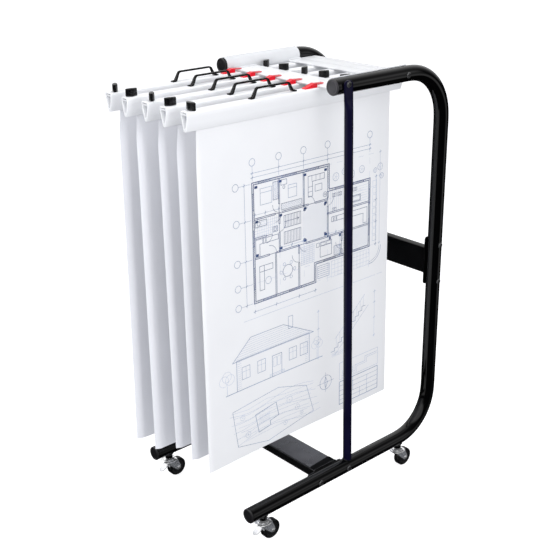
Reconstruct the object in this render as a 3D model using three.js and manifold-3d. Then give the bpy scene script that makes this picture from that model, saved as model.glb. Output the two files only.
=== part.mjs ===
// Mobile front-loading rack for large drawing sheets.
// Millimetres, +Z up. X runs across the rack, -Y is the open loading side, the
// floor is z = 0 and the origin lies under the middle of the overall box.
import * as THREE from 'three';
import { mergeVertices } from 'three/addons/utils/BufferGeometryUtils.js';
import Module from 'manifold-3d';

const wasm = await Module();
wasm.setup();

// ---------------------------------------------------------------- dimensions
const TUBE_R = 18.5;           // side frame tube, outside radius
const TUBE_WALL = 2;
const HALF_SPAN = 192;        // side frame tube axis, from the middle of the rack
const Z_LOW = 90;             // bottom rail axis above the floor
const Z_HIGH = 1074;          // top rail axis above the floor
const Y_REAR = 357;           // upright axis
const Y_LOW_FRONT = -286;     // front end of the bottom rail tube
const Y_HIGH_FRONT = -18.5;   // front end of the top rail tube
const BEND_LOW = 115;         // bend radii on the tube axis
const BEND_HIGH = 121;
const GAP = 0.3;              // clearance between touching pieces

const CASTER_Y = [-243, 241]; // swivel axes, front and rear
const BOSS_R = 10;
const BOSS_Z = 60.3;          // underside of the welded caster boss
const WHEEL_R = 25;
const WHEEL_HALF = 9;
const TRAIL = 22;             // axle behind the swivel axis

const BAR_TALL = 70;          // rectangular tube of both cross members
const BAR_THIN = 24;
const BAR_WALL = 2;
const MID_Z = 570;            // rear cross bar, middle height
const MID_BOLT = 50;          // its bolts above and below the middle
const BASE_Y = -15.2;         // base beam, middle of its end plates
const BASE_WIDE = 76;         // its tube, and how far that sits behind the plates' middle
const BASE_SHIFT = 3;
const BASE_BOLT = 49.7;       // its bolts before and behind the middle
const BASE_BOLT_Z = 92;
const PLATE_T = 4;
const STUD_R = 4;
const STUD_HOLE_R = 4.4;
const NUT_R = 6.2;
const NUT_H = 3;

const POST_R = 10.5;          // front post, round part
const POST_TOP = [213.5, 8, 1074];   // its axis beside the top rail
const POST_FOOT = [192, 46, 108.5];  // and on the crown of the bottom rail
const POST_FLAT_X = 212.8;    // middle of its flattened top end
const POST_FLAT_HALF = 13.8;
const POST_BOLT_Z = 1080;

const COVER_IN = 18.8;        // white cover on the inner side of each top rail
const COVER_OUT = 21.3;
const COVER_Y = [-17.5, 221];
const COVER_BOLT = [[8, POST_BOLT_Z], [209, Z_HIGH]];

const RAIL_Z = [1062, 1067];  // white flat rails
const RAIL_HALF = 171.4;
const FRONT_RAIL_Y = [1, 73];
const REAR_RAIL_Y = [180.5, 279];

const CLAMP_L = 654;
const CLAMP_TOP = 1061.5;
const CLAMP_H = 42.5;
const CLAMP_X = [-156, -87.5, -18.8, 48.7, 116];
const CLAMP_Y = [-370.6, -374, -368.9, -370, -367.3];   // front ends
const KNOB_AT = [19, 463];    // knob axes from the front end
const HANDLE_AT = 240.3;      // middle of the handle from the front end
const HOOK_Y = [-13, -8, -6, -3, 0];   // hooks before or at the rail's front edge
const KNOB_TURN = [[146, 114], [80, 76], [144, 110], [79, 72], [2, 72]];  // degrees

const SHEET_W = 594;
const SHEET_L = [868, 868, 841, 841, 841];
const SHEET_Z = [170.7, 172.9, 201.6, 198, 195];        // bottom edges
const SHEET_T = 0.9;
const SHEET_AT = [28.7, 28.7, 33.2, 34.7, 28.7];        // front edges from the clamps' front ends
const SHEET_SWING = [0.876, 0.337, 0, 0, 0];            // degrees askew in the clamp, foot to the front

// ------------------------------------------------------------------- helpers
function clean(geometry) {
  let g = geometry.clone();
  for (const name of Object.keys(g.attributes)) if (name !== 'position') g.deleteAttribute(name);
  g = mergeVertices(g, 1e-4);
  const index = g.index.array;
  const kept = [];
  for (let i = 0; i < index.length; i += 3) {
    const a = index[i], b = index[i + 1], c = index[i + 2];
    if (a !== b && b !== c && c !== a) kept.push(a, b, c);
  }
  g.setIndex(kept);
  return g;
}

function solid(geometry) {
  const g = clean(geometry);
  return new wasm.Manifold(new wasm.Mesh({
    numProp: 3,
    vertProperties: new Float32Array(g.attributes.position.array),
    triVerts: new Uint32Array(g.index.array),
  }));
}

function geometryOf(body) {
  const m = body.getMesh();
  const g = new THREE.BufferGeometry();
  g.setAttribute('position', new THREE.BufferAttribute(new Float32Array(m.vertProperties), 3));
  g.setIndex(Array.from(m.triVerts));
  g.computeVertexNormals();
  return g;
}

const join = (first, ...rest) => rest.reduce((a, b) => a.add(b), first);
const cut = (first, ...rest) => rest.reduce((a, b) => a.subtract(b), first);

function outline(points, holes = []) {
  const s = new THREE.Shape(points.map(([u, v]) => new THREE.Vector2(u, v)));
  for (const h of holes) s.holes.push(new THREE.Path(h.map(([u, v]) => new THREE.Vector2(u, v))));
  return s;
}

function circle(r, n, u0 = 0, v0 = 0) {
  const p = [];
  for (let i = 0; i < n; i++) {
    const a = (2 * Math.PI * i) / n;
    p.push([u0 + r * Math.cos(a), v0 + r * Math.sin(a)]);
  }
  return p;
}

function roundedRect(w, h, r, n = 3, u0 = 0, v0 = 0) {
  const p = [];
  const corners = [[w / 2 - r, h / 2 - r, 0], [-w / 2 + r, h / 2 - r, 1], [-w / 2 + r, -h / 2 + r, 2], [w / 2 - r, -h / 2 + r, 3]];
  for (const [cu, cv, q] of corners) {
    for (let i = 0; i <= n; i++) {
      const a = (q + i / n) * Math.PI / 2;
      p.push([u0 + cu + r * Math.cos(a), v0 + cv + r * Math.sin(a)]);
    }
  }
  return p;
}

// A flat outline drawn out along one axis. Along x the outline is (y, z), along
// y it is (x, z), along z it is (x, y).
function prism(axis, points, from, to, holes = []) {
  const g = new THREE.ExtrudeGeometry(outline(points, holes), { depth: to - from, bevelEnabled: false, steps: 1 });
  if (axis === 'z') g.translate(0, 0, from);
  if (axis === 'y') { g.rotateX(Math.PI / 2); g.translate(0, to, 0); }
  if (axis === 'x') {
    g.applyMatrix4(new THREE.Matrix4().set(0, 0, 1, 0, 1, 0, 0, 0, 0, 1, 0, 0, 0, 0, 0, 1));
    g.translate(from, 0, 0);
  }
  return g;
}

// A turned piece about the z axis, from (radius, height) pairs.
function turned(points, n) {
  return new THREE.LatheGeometry(points.map(([r, z]) => new THREE.Vector2(r, z)), n).rotateX(Math.PI / 2);
}

function rod(axis, r, from, to, u, v, n = 12) {
  return prism(axis, circle(r, n, u, v), from, to);
}

// A path with cross-sections only at the listed stations.
class StationPath extends THREE.Curve {
  constructor(points, tangents) {
    super();
    this.points = points;
    this.tangents = tangents;
  }
  station(t) { return Math.round(t * (this.points.length - 1)); }
  getPoint(t, target = new THREE.Vector3()) { return target.copy(this.points[this.station(t)]); }
  getPointAt(u, target = new THREE.Vector3()) { return this.getPoint(u, target); }
  getTangent(t, target = new THREE.Vector3()) { return target.copy(this.tangents[this.station(t)]); }
  getTangentAt(u, target = new THREE.Vector3()) { return this.getTangent(u, target); }
}

function material(color, roughness, metalness = 0) {
  return new THREE.MeshStandardMaterial({ color, roughness, metalness });
}

const rack = new THREE.Group();
function place(name, geometry, mat, parent = rack) {
  const mesh = new THREE.Mesh(geometry, mat);
  mesh.name = name;
  parent.add(mesh);
  return mesh;
}
const sides = [['left', -1], ['right', 1]];

// --------------------------------------------------------------- side frames
function sideFrame(s) {
  const x = s * HALF_SPAN;
  const pts = [], tan = [];
  const add = (y, z, ty, tz) => { pts.push(new THREE.Vector3(x, y, z)); tan.push(new THREE.Vector3(0, ty, tz).normalize()); };
  const steps = 6;
  add(Y_HIGH_FRONT, Z_HIGH, 1, 0);
  for (let i = 0; i <= steps; i++) {
    const a = Math.PI / 2 * (1 - i / steps);
    add(Y_REAR - BEND_HIGH + BEND_HIGH * Math.cos(a), Z_HIGH - BEND_HIGH + BEND_HIGH * Math.sin(a), Math.sin(a), -Math.cos(a));
  }
  for (let i = 0; i <= steps; i++) {
    const a = -Math.PI / 2 * (i / steps);
    add(Y_REAR - BEND_LOW + BEND_LOW * Math.cos(a), Z_LOW + BEND_LOW + BEND_LOW * Math.sin(a), Math.sin(a), -Math.cos(a));
  }
  add(Y_LOW_FRONT, Z_LOW, -1, 0);
  const ring = outline(circle(TUBE_R, 16), [circle(TUBE_R - TUBE_WALL, 12)]);
  const tube = solid(new THREE.ExtrudeGeometry(ring, {
    steps: pts.length - 1, extrudePath: new StationPath(pts, tan), bevelEnabled: false,
  }));
  const bosses = CASTER_Y.map((y) => solid(rod('z', BOSS_R, BOSS_Z, Z_LOW - TUBE_R + 1.2, x, y, 12)));
  const bores = CASTER_Y.map((y) => solid(rod('z', 5.4, BOSS_Z - 1, Z_LOW - 6, x, y, 12)));
  const through = (y, z) => solid(rod('x', STUD_HOLE_R, x - TUBE_R - 2, x + TUBE_R + 2, y, z, 8));
  const holes = [
    through(Y_REAR, MID_Z + MID_BOLT), through(Y_REAR, MID_Z - MID_BOLT),
    through(BASE_Y - BASE_BOLT, BASE_BOLT_Z), through(BASE_Y + BASE_BOLT, BASE_BOLT_Z),
    ...COVER_BOLT.map(([y, z]) => through(y, z)),
    solid(rod('z', STUD_HOLE_R, Z_LOW, Z_LOW + TUBE_R + 2, s * POST_FOOT[0], POST_FOOT[1], 8)),
  ];
  return geometryOf(cut(join(tube, ...bosses), ...bores, ...holes));
}
for (const [side, s] of sides) place(`${side}_side_frame`, sideFrame(s), material(0x0b0b0d, 0.22, 0.35));

// Push-in end caps: a rounded head and a plug inside the tube.
const capProfile = [
  [0, 3.4], [13.6, 3.4], [15.2, 4.2], [17.9, 3.4], [18.5, 1.8], [18.5, 0.3], [15.5, 0.3], [15.5, -13], [14.5, -14.5], [0, -14.5],
];
for (const [side, s] of sides) {
  for (const [where, y, z] of [['top', Y_HIGH_FRONT, Z_HIGH], ['bottom', Y_LOW_FRONT, Z_LOW]]) {
    const g = geometryOf(solid(turned([...capProfile].reverse(), 14)));
    const cap = place(`${side}_${where}_end_cap`, g, material(0x1b1a1e, 0.5));
    cap.rotation.x = Math.PI / 2;
    cap.position.set(s * HALF_SPAN, y, z);
  }
}

// ------------------------------------------------------------- cross members
// A domed nut on its stud. The stud starts at x0 and the nut sits at x1, for s = 1.
function studs(places, x0, x1) {
  const all = [];
  for (const s of [-1, 1]) {
    for (const [y, z, seat = x1] of places) {
      const stud = solid(rod('x', STUD_R, Math.min(s * x0, s * (seat + 1.5)), Math.max(s * x0, s * (seat + 1.5)), y, z, 8));
      const nut = turned([[0, 0], [NUT_R, 0], [NUT_R, 1], [NUT_R * 0.7, NUT_H], [0, NUT_H]], 10);
      nut.rotateY(s * Math.PI / 2).translate(s * seat, y, z);
      all.push(stud, solid(nut));
    }
  }
  return all;
}
const PLATE_X = [HALF_SPAN - TUBE_R - GAP - PLATE_T, HALF_SPAN - TUBE_R - GAP];
const NUT_SEAT = HALF_SPAN + TUBE_R + GAP;
const POST_NUT_SEAT = POST_FLAT_X + 2 + GAP;

function crossMember(tallAlongZ, y0, z0, plateLong, plateWide, bolts, wide = BAR_TALL, shift = 0) {
  const size = tallAlongZ ? [BAR_THIN, wide] : [wide, BAR_THIN];
  const plate = tallAlongZ ? [plateWide, plateLong] : [plateLong, plateWide];
  const bar = solid(prism('x', roundedRect(size[0], size[1], 3, 2, y0 + shift, z0), -PLATE_X[0] - 1, PLATE_X[0] + 1,
    [roundedRect(size[0] - 2 * BAR_WALL, size[1] - 2 * BAR_WALL, 1.5, 1, y0 + shift, z0)]));
  const plates = [-1, 1].map((s) => solid(prism('x', roundedRect(plate[0], plate[1], 6, 2, y0, z0),
    s > 0 ? PLATE_X[0] : -PLATE_X[1], s > 0 ? PLATE_X[1] : -PLATE_X[0])));
  const vents = [-1, 1].map((s) => solid(rod('x', 5, s * 172 - 8, s * 172 + 8, y0, z0, 10)));
  return geometryOf(join(cut(join(bar, ...plates), ...vents), ...studs(bolts, PLATE_X[0] + 1, NUT_SEAT)));
}
place('rear_cross_bar', crossMember(true, Y_REAR, MID_Z, 130, BAR_THIN + 4, [[Y_REAR, MID_Z - MID_BOLT], [Y_REAR, MID_Z + MID_BOLT]]), material(0x101012, 0.35, 0.3));
place('base_beam', crossMember(false, BASE_Y, Z_LOW, 118, BAR_THIN - 4,
  [[BASE_Y - BASE_BOLT, BASE_BOLT_Z], [BASE_Y + BASE_BOLT, BASE_BOLT_Z]], BASE_WIDE, BASE_SHIFT), material(0x101012, 0.35, 0.3));

// ---------------------------------------------------------------- front posts
// A round tube that stands with a coped foot and a stud on the bottom rail. Its
// top end is pressed flat and bolted to the outer side of the top rail. A small
// drain hole opens it near the foot.
function post(s) {
  const stations = [];
  const zTop = Z_HIGH + 15;
  const at = (z, k) => POST_TOP[k] + (POST_FOOT[k] - POST_TOP[k]) * (POST_TOP[2] - z) / (POST_TOP[2] - POST_FOOT[2]);
  const flat = (z, a) => stations.push([z, a, 2, POST_FLAT_X, 0.45]);
  const mix = (z, t) => stations.push([z, POST_FLAT_HALF + (POST_R - POST_FLAT_HALF) * t, 2 + (POST_R - 2) * t,
    POST_FLAT_X + (at(z, 0) - POST_FLAT_X) * t, 0.45 + 0.55 * t]);
  mix(Z_LOW + 8, 1);
  mix(Z_HIGH - 58, 1); mix(Z_HIGH - 46, 0.75); mix(Z_HIGH - 34, 0.3);
  flat(Z_HIGH - 22, POST_FLAT_HALF); flat(zTop - 8, POST_FLAT_HALF); flat(zTop - 2.6, 10); flat(zTop, 5.4);
  const n = 12, pos = [], idx = [];
  stations.forEach(([z, a, b, x, e]) => {
    for (let i = 0; i < n; i++) {
      const t = 2 * Math.PI * i / n, c = Math.cos(t), q = Math.sin(t);
      pos.push(s * x + b * Math.sign(c) * Math.abs(c) ** e, at(z, 1) + a * Math.sign(q) * Math.abs(q) ** (e === 1 ? 1 : 0.8), z);
    }
  });
  const rings = stations.length;
  for (let r = 0; r + 1 < rings; r++) {
    for (let i = 0; i < n; i++) {
      const a = r * n + i, b = r * n + (i + 1) % n, c = a + n, d = b + n;
      idx.push(a, b, d, a, d, c);
    }
  }
  for (const [r, flip] of [[0, true], [rings - 1, false]]) {
    for (let i = 1; i + 1 < n; i++) idx.push(r * n, r * n + (flip ? i + 1 : i), r * n + (flip ? i : i + 1));
  }
  const g = new THREE.BufferGeometry();
  g.setAttribute('position', new THREE.BufferAttribute(new Float32Array(pos), 3));
  g.setIndex(idx);
  // the bore runs along the leaning axis and stops short of both ends
  const lo = Z_LOW + 46, hi = Z_HIGH - 60;
  const from = new THREE.Vector3(s * at(lo, 0), at(lo, 1), lo), to = new THREE.Vector3(s * at(hi, 0), at(hi, 1), hi);
  const way = to.clone().sub(from);
  const bore = new THREE.CylinderGeometry(POST_R - 2, POST_R - 2, way.length(), 10);
  bore.applyQuaternion(new THREE.Quaternion().setFromUnitVectors(new THREE.Vector3(0, 1, 0), way.clone().normalize()));
  bore.translate(...from.clone().add(to).multiplyScalar(0.5).toArray());
  const zDrain = Z_LOW + 58, xd = at(zDrain, 0);
  const drain = rod('x', 2.2, s > 0 ? xd - 14 : -xd, s > 0 ? xd : -xd + 14, at(zDrain, 1), zDrain, 8);
  const cope = rod('x', TUBE_R + GAP, -400, 400, 0, 0, 32);
  cope.rotateZ(Math.PI / 2).translate(s * HALF_SPAN, 0, Z_LOW);
  const hole = rod('x', STUD_HOLE_R, s * POST_FLAT_X - 8, s * POST_FLAT_X + 8, COVER_BOLT[0][0], POST_BOLT_Z, 8);
  const stud = rod('z', STUD_R, Z_LOW + 6, Z_LOW + 26, s * POST_FOOT[0], POST_FOOT[1], 8);
  return geometryOf(cut(solid(g), solid(bore), solid(drain), solid(cope), solid(hole)).add(solid(stud)));
}
for (const [side, s] of sides) place(`${side}_front_post`, post(s), material(0x0c0d1c, 0.3, 0.3));

// ------------------------------------------------------------ white rail set
// Each cover hugs the inner half of a top rail, laps over the rail ends with two
// short flanges and is held by two studs through the tube.
function cover(s) {
  const pts = [];
  const n = 8, a0 = 93, a1 = 248;
  for (let i = 0; i <= n; i++) {
    const a = (a0 + (a1 - a0) * i / n) * Math.PI / 180;
    pts.push([COVER_OUT * Math.cos(a), COVER_OUT * Math.sin(a)]);
  }
  for (let i = n; i >= 0; i--) {
    const a = (a0 + (a1 - a0) * i / n) * Math.PI / 180;
    pts.push([COVER_IN * Math.cos(a), COVER_IN * Math.sin(a)]);
  }
  let section = pts.map(([u, v]) => [s * (HALF_SPAN + u), Z_HIGH + v]);
  if (s < 0) section = section.reverse();
  const shell = solid(prism('y', section, COVER_Y[0], COVER_Y[1]));
  const flange = (y0, y1) => {
    const x0 = HALF_SPAN - COVER_OUT + 1.2, x1 = 163.5;
    return solid(prism('z', [[s * x1, y0], [s * x0, y0], [s * x0, y1], [s * x1, y1]], RAIL_Z[1] + GAP, RAIL_Z[1] + GAP + 2.2));
  };
  const bolts = COVER_BOLT.map(([y, z], i) => {
    const seat = i === 0 ? POST_NUT_SEAT : NUT_SEAT;
    const x0 = HALF_SPAN - COVER_OUT + 1;
    const stud = solid(rod('x', STUD_R, Math.min(s * x0, s * (seat + 1.5)), Math.max(s * x0, s * (seat + 1.5)), y, z, 8));
    const nut = turned([[0, 0], [NUT_R, 0], [NUT_R, 1], [NUT_R * 0.7, NUT_H], [0, NUT_H]], 10);
    nut.rotateY(s * Math.PI / 2).translate(s * seat, y, z);
    return stud.add(solid(nut));
  });
  return geometryOf(join(shell, flange(FRONT_RAIL_Y[0] + 6, FRONT_RAIL_Y[1] - 4), flange(REAR_RAIL_Y[0] + 4, COVER_Y[1] - 2), ...bolts));
}
for (const [side, s] of sides) place(`${side}_rail_cover`, cover(s), material(0xf2f3f4, 0.3));

const [zr0, zr1] = RAIL_Z;
const front = FRONT_RAIL_Y, rear = REAR_RAIL_Y, zm = (zr0 + zr1) / 2;
place('front_rail', prism('x', [
  [front[0] + 1.8, zr0], [front[1] - 0.6, zr0], [front[1], zr0 + 0.6], [front[1], zr1 - 0.6], [front[1] - 0.6, zr1],
  [front[0] + 1.8, zr1], [front[0] + 0.5, zr1 - 0.9], [front[0], zm], [front[0] + 0.5, zr0 + 0.9],
], -RAIL_HALF, RAIL_HALF), material(0xf4f5f6, 0.3));
place('rear_rail', prism('x', [
  [rear[0] + 1.8, zr0], [rear[1] - 0.6, zr0], [rear[1], zr0 + 0.6], [rear[1], zr1 - 0.6], [rear[1] - 0.6, zr1],
  [227, zr1], [226, zr1 - 1.6], [224, zr1 - 1.6], [223, zr1],
  [rear[0] + 1.8, zr1], [rear[0] + 0.5, zr1 - 0.9], [rear[0], zm], [rear[0] + 0.5, zr0 + 0.9],
], -RAIL_HALF, RAIL_HALF), material(0xf4f5f6, 0.3));

// -------------------------------------------------------------------- casters
const fork = (() => {
  const head = solid(turned([
    [0, 50.7], [19.6, 50.7], [21, 51.6], [21, 53.2], [15.6, 55], [13, 58], [5, 60], [5, 79], [0, 79],
  ], 14));
  const leg = (x0, x1) => solid(prism('x', [
    [-11, 52.8], [-11.5, 49], [-6, 42], [14, 22.4], [22, 18.6], [28, 22.4], [28.6, 28], [21, 46], [19, 52.8],
  ], x0, x1));
  const axle = solid(rod('x', 3, -14.2, 14.2, TRAIL, WHEEL_R, 10));
  const ends = [-1, 1].map((s) => solid(rod('x', 5, s > 0 ? 12.2 : -14.4, s > 0 ? 14.4 : -12.2, TRAIL, WHEEL_R, 10)));
  return geometryOf(join(head, leg(10.3, 12.4), leg(-12.4, -10.3), axle, ...ends));
})();
const wheel = (() => {
  const n = 20, h = WHEEL_HALF, r = WHEEL_R / Math.cos(Math.PI / n);
  const g = turned([
    [3.4, -h - 0.9], [9, -h - 0.9], [18.6, -h + 1], [r - 2, -h], [r, -h + 2.2],
    [r, h - 2.2], [r - 2, h], [18.6, h - 1], [9, h + 0.9], [3.4, h + 0.9], [3.4, -h - 0.9],
  ], n);
  g.rotateY(Math.PI / 2);
  g.rotateX(Math.PI / n);
  return geometryOf(solid(g));
})();
// Foot brake: a curved pedal with a rounded end and a tab that presses on the tyre.
const pedal = geometryOf(solid(prism('x', [
  [-2.2, 49.6], [-3.4, 50.2], [-8.4, 48.4], [-13, 43.2], [-19, 37.4], [-26, 33.2], [-31.4, 30.6], [-30.6, 28.4], [-25.2, 30.9],
  [-17.8, 35.2], [-11.6, 41], [-7.6, 45.2], [-6.6, 44.6], [-5.6, 34], [-3.4, 33.4], [-3.6, 44.4], [-2.2, 46.4],
].reverse(), -9, 9)).intersect(solid(prism('z', [
  [-9, 0], [-9, -20], [-8.2, -24.5], [-6, -28], [-3, -30.4], [0, -31.2], [3, -30.4], [6, -28], [8.2, -24.5], [9, -20], [9, 0],
], 20, 60))));

for (const [side, s] of sides) {
  CASTER_Y.forEach((y, i) => {
    const end = i === 0 ? 'front' : 'rear';
    const at = new THREE.Group();
    at.position.set(s * HALF_SPAN, y, 0);
    rack.add(at);
    place(`${end}_${side}_caster_fork`, fork, material(0xc9ccd0, 0.16, 1), at);
    const w = place(`${end}_${side}_caster_wheel`, wheel, material(0x141416, 0.6), at);
    w.position.set(0, TRAIL, WHEEL_R);
    if (i === 0) place(`${end}_${side}_brake_pedal`, pedal, material(0xd2d4d7, 0.2, 1), at);
  });
}

// --------------------------------------------------------------- hanging clamps
// Section of the hollow clamp profile, x across and z up from its top face. The
// sheet hangs out of the slit at the bottom and lies on the thick lip at +x.
const clampOuter = [
  [-0.9, -42.5], [-0.9, -41.4], [-3.2, -36], [-8.8, -13], [-9.4, -7.2],
  [9.4, -7.2], [8.8, -13], [7.2, -20.6], [0.9, -23.5], [0.9, -42.5],
  [2.6, -42.5], [3.8, -41.2], [7.6, -28], [11.2, -12], [12, -6], [12, -0.9], [11.1, 0],
  [-11.1, 0], [-12, -0.9], [-12, -6], [-11.2, -12], [-7.6, -28], [-3.8, -41.2], [-2.6, -42.5],
];
const clampSlot = [[-7.8, -2.4], [7.8, -2.4], [7.8, -4.6], [-7.8, -4.6]];
const jawSection = [
  [-0.75, -15.4], [-0.75, -36.5], [-2.45, -36.5], [-7.5, -15.4], [-7.6, -12.4], [6.8, -12.4], [6.8, -15.4],
];
// Each end of the profile is a closed ring, 8 long, round a drop-shaped opening.
const endOuter = [
  [2.6, -42.5], [3.8, -41.2], [7.6, -28], [11.2, -12], [12, -6], [12, -0.9], [11.1, 0],
  [-11.1, 0], [-12, -0.9], [-12, -6], [-11.2, -12], [-7.6, -28], [-3.8, -41.2], [-2.6, -42.5],
];
const endDrop = [
  [-6.8, -8.2], [-8.3, -9.8], [-8, -14], [-3.2, -31.6], [-1.4, -34.4], [1.4, -34.4], [3.2, -31.6], [8, -14], [8.3, -9.8], [6.8, -8.2],
];
const END_L = 8;
const knobGeometry = geometryOf(join(
  solid(turned([[0, -15], [2.5, -15], [2.5, 0.3], [5.6, 0.3], [5.6, 3.4], [0, 3.4]], 10)),
  solid(prism('z', [
    [-13, -2.2], [-4.6, -5.8], [4.6, -5.8], [13, -2.2], [13, 2.2], [4.6, 5.8], [-4.6, 5.8], [-13, 2.2],
  ], 0.9, 17)),
));
// Strap handle, wide at the feet and narrow along the bar: y along the clamp from
// the handle's middle, z up from the clamp.
const handleGeometry = (() => {
  const half = [[66, 0.3], [55.0, 0.3], [45.4, 18.6], [42.6, 20.0]];
  const top = [[66, 2.9], [58.6, 2.9], [48.9, 21.4], [44.6, 23.6]];
  const lower = [...half.map(([y, z]) => [-y, z]), ...[...half].reverse()];
  const upper = [...top, ...[...top].reverse().map(([y, z]) => [-y, z])];
  const front = prism('y', [[-6, 0], [6, 0], [6, 3.2], [3.6, 20], [3.6, 25], [-3.6, 25], [-3.6, 20], [-6, 3.2]], -80, 80);
  return geometryOf(solid(prism('x', [...lower, ...upper], -7, 7)).intersect(solid(front)));
})();
// Hook: a wedge in front of the rail and an arm over the rail's front lip.
const hookGeometry = geometryOf(join(
  solid(prism('x', [[-36, 0.3], [0.4, 0.3], [0.4, 9.6], [-7, 10.4], [-35, 1.7]], -6.4, 6.4)),
  solid(prism('x', [[-8, 6.1], [21, 6.1], [23, 7.2], [21.8, 8.6], [-7, 10.2]], -4.6, 4.6)),
));

CLAMP_X.forEach((x, i) => {
  const n = i + 1;
  const at = new THREE.Group();
  at.position.set(x, CLAMP_Y[i], CLAMP_TOP);
  rack.add(at);
  const white = () => material(0xf1f2f4, 0.32);
  const black = () => material(0x121214, 0.42);
  const ends = [0, CLAMP_L - END_L].map((y) => solid(prism('y', endOuter, y, y + END_L, [endDrop, clampSlot])));
  const profile = join(solid(prism('y', clampOuter, 0, CLAMP_L, [clampSlot])), ...ends);
  const holes = KNOB_AT.map((y) => solid(rod('z', 3.2, -8.5, 1, 0, y, 8)));
  place(`clamp_${n}_profile`, geometryOf(cut(profile, ...holes)), white(), at);
  const jaw = solid(prism('y', jawSection, 10, CLAMP_L - 10));
  const slots = KNOB_AT.map((y) => solid(rod('z', 4, -21, -11, 0.6, y, 8)));
  place(`clamp_${n}_jaw_bar`, geometryOf(cut(jaw, ...slots)), white(), at);
  KNOB_AT.forEach((y, k) => {
    const knob = place(`clamp_${n}_${k === 0 ? 'front' : 'rear'}_knob`, knobGeometry, black(), at);
    knob.position.set(0, y, 0);
    knob.rotation.z = KNOB_TURN[i][k] * Math.PI / 180;
  });
  const handle = place(`clamp_${n}_handle`, handleGeometry, black(), at);
  handle.position.set(0, HANDLE_AT, 0);
  const hook = place(`clamp_${n}_hook`, hookGeometry, material(0xd81f2a, 0.35), at);
  hook.position.set(0, HOOK_Y[i] - CLAMP_Y[i], 0);
  const sheet = place(`clamp_${n}_sheet`, prism('x', [
    [-SHEET_W / 2, -SHEET_L[i]], [SHEET_W / 2, -SHEET_L[i]], [SHEET_W / 2, 0], [-SHEET_W / 2, 0],
  ], -SHEET_T / 2, SHEET_T / 2), material(0xf3f4f8, 0.8), at);
  sheet.position.set(0, SHEET_AT[i] + SHEET_W / 2, SHEET_Z[i] + SHEET_L[i] - CLAMP_TOP);
  sheet.rotation.x = -SHEET_SWING[i] * Math.PI / 180;
});

export default rack;
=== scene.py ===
# Looks of a mobile front-loading rack for large drawing sheets.
# Lengths in the builders below are millimetres in the part's own frame.
import bpy, bmesh, math
import numpy as np
from mathutils import Matrix, Vector
from mathutils.geometry import tessellate_polygon


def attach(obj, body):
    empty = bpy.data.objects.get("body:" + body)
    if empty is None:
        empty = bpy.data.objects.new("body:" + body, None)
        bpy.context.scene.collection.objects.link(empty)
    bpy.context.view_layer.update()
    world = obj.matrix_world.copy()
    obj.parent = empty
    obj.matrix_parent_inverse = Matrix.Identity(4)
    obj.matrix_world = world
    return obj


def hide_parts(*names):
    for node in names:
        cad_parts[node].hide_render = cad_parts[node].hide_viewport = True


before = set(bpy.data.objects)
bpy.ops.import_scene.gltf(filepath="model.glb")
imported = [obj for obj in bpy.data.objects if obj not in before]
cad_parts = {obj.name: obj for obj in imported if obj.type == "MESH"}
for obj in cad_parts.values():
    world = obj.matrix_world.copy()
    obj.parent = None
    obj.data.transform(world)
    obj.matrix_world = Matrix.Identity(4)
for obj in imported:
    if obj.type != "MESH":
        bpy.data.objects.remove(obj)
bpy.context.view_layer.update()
scene = bpy.context.scene
MM = 0.001

# ---------------------------------------------------------------- dimensions
TUBE_R, HALF, Z_LOW, Z_HIGH, Y_REAR = 18.5, 192.0, 90.0, 1074.0, 357.0
Y_LOW_FRONT, Y_HIGH_FRONT, BEND_LOW, BEND_HIGH = -286.0, -18.5, 115.0, 121.0
CASTER_Y = (-243.0, 241.0)
TRAIL, WHEEL_R = 22.0, 25.0
MID_Z, MID_BOLT, BASE_Y, BASE_BOLT, BASE_BOLT_Z = 570.0, 50.0, -15.2, 49.7, 92.0
POST_TOP, POST_FOOT = (214.0, 8.0, 1074.0), (192.0, 46.0, 108.5)
CLAMP_L, CLAMP_TOP = 654.0, 1061.5
CLAMP_X = (-156.0, -87.5, -18.8, 48.7, 116.0)
CLAMP_Y = (-370.6, -374.0, -368.9, -370.0, -367.3)
KNOB_AT, HANDLE_AT = (19.0, 463.0), 240.3
HOOK_Y = (-13.0, -8.0, -6.0, -3.0, 0.0)
KNOB_TURN = ((146, 114), (80, 76), (144, 110), (79, 72), (2, 72))
SHEET_W = 594.0
SHEET_AT = (28.7, 28.7, 33.2, 34.7, 28.7)
SHEET_SWING = (0.876, 0.337, 0.0, 0.0, 0.0)
SHEET_L = (868.0, 868.0, 841.0, 841.0, 841.0)
SHEET_Z = (170.7, 172.9, 201.6, 198.0, 195.0)
RAIL_Z = (1062.0, 1067.0)
SIDES = (("left", -1), ("right", 1))


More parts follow.
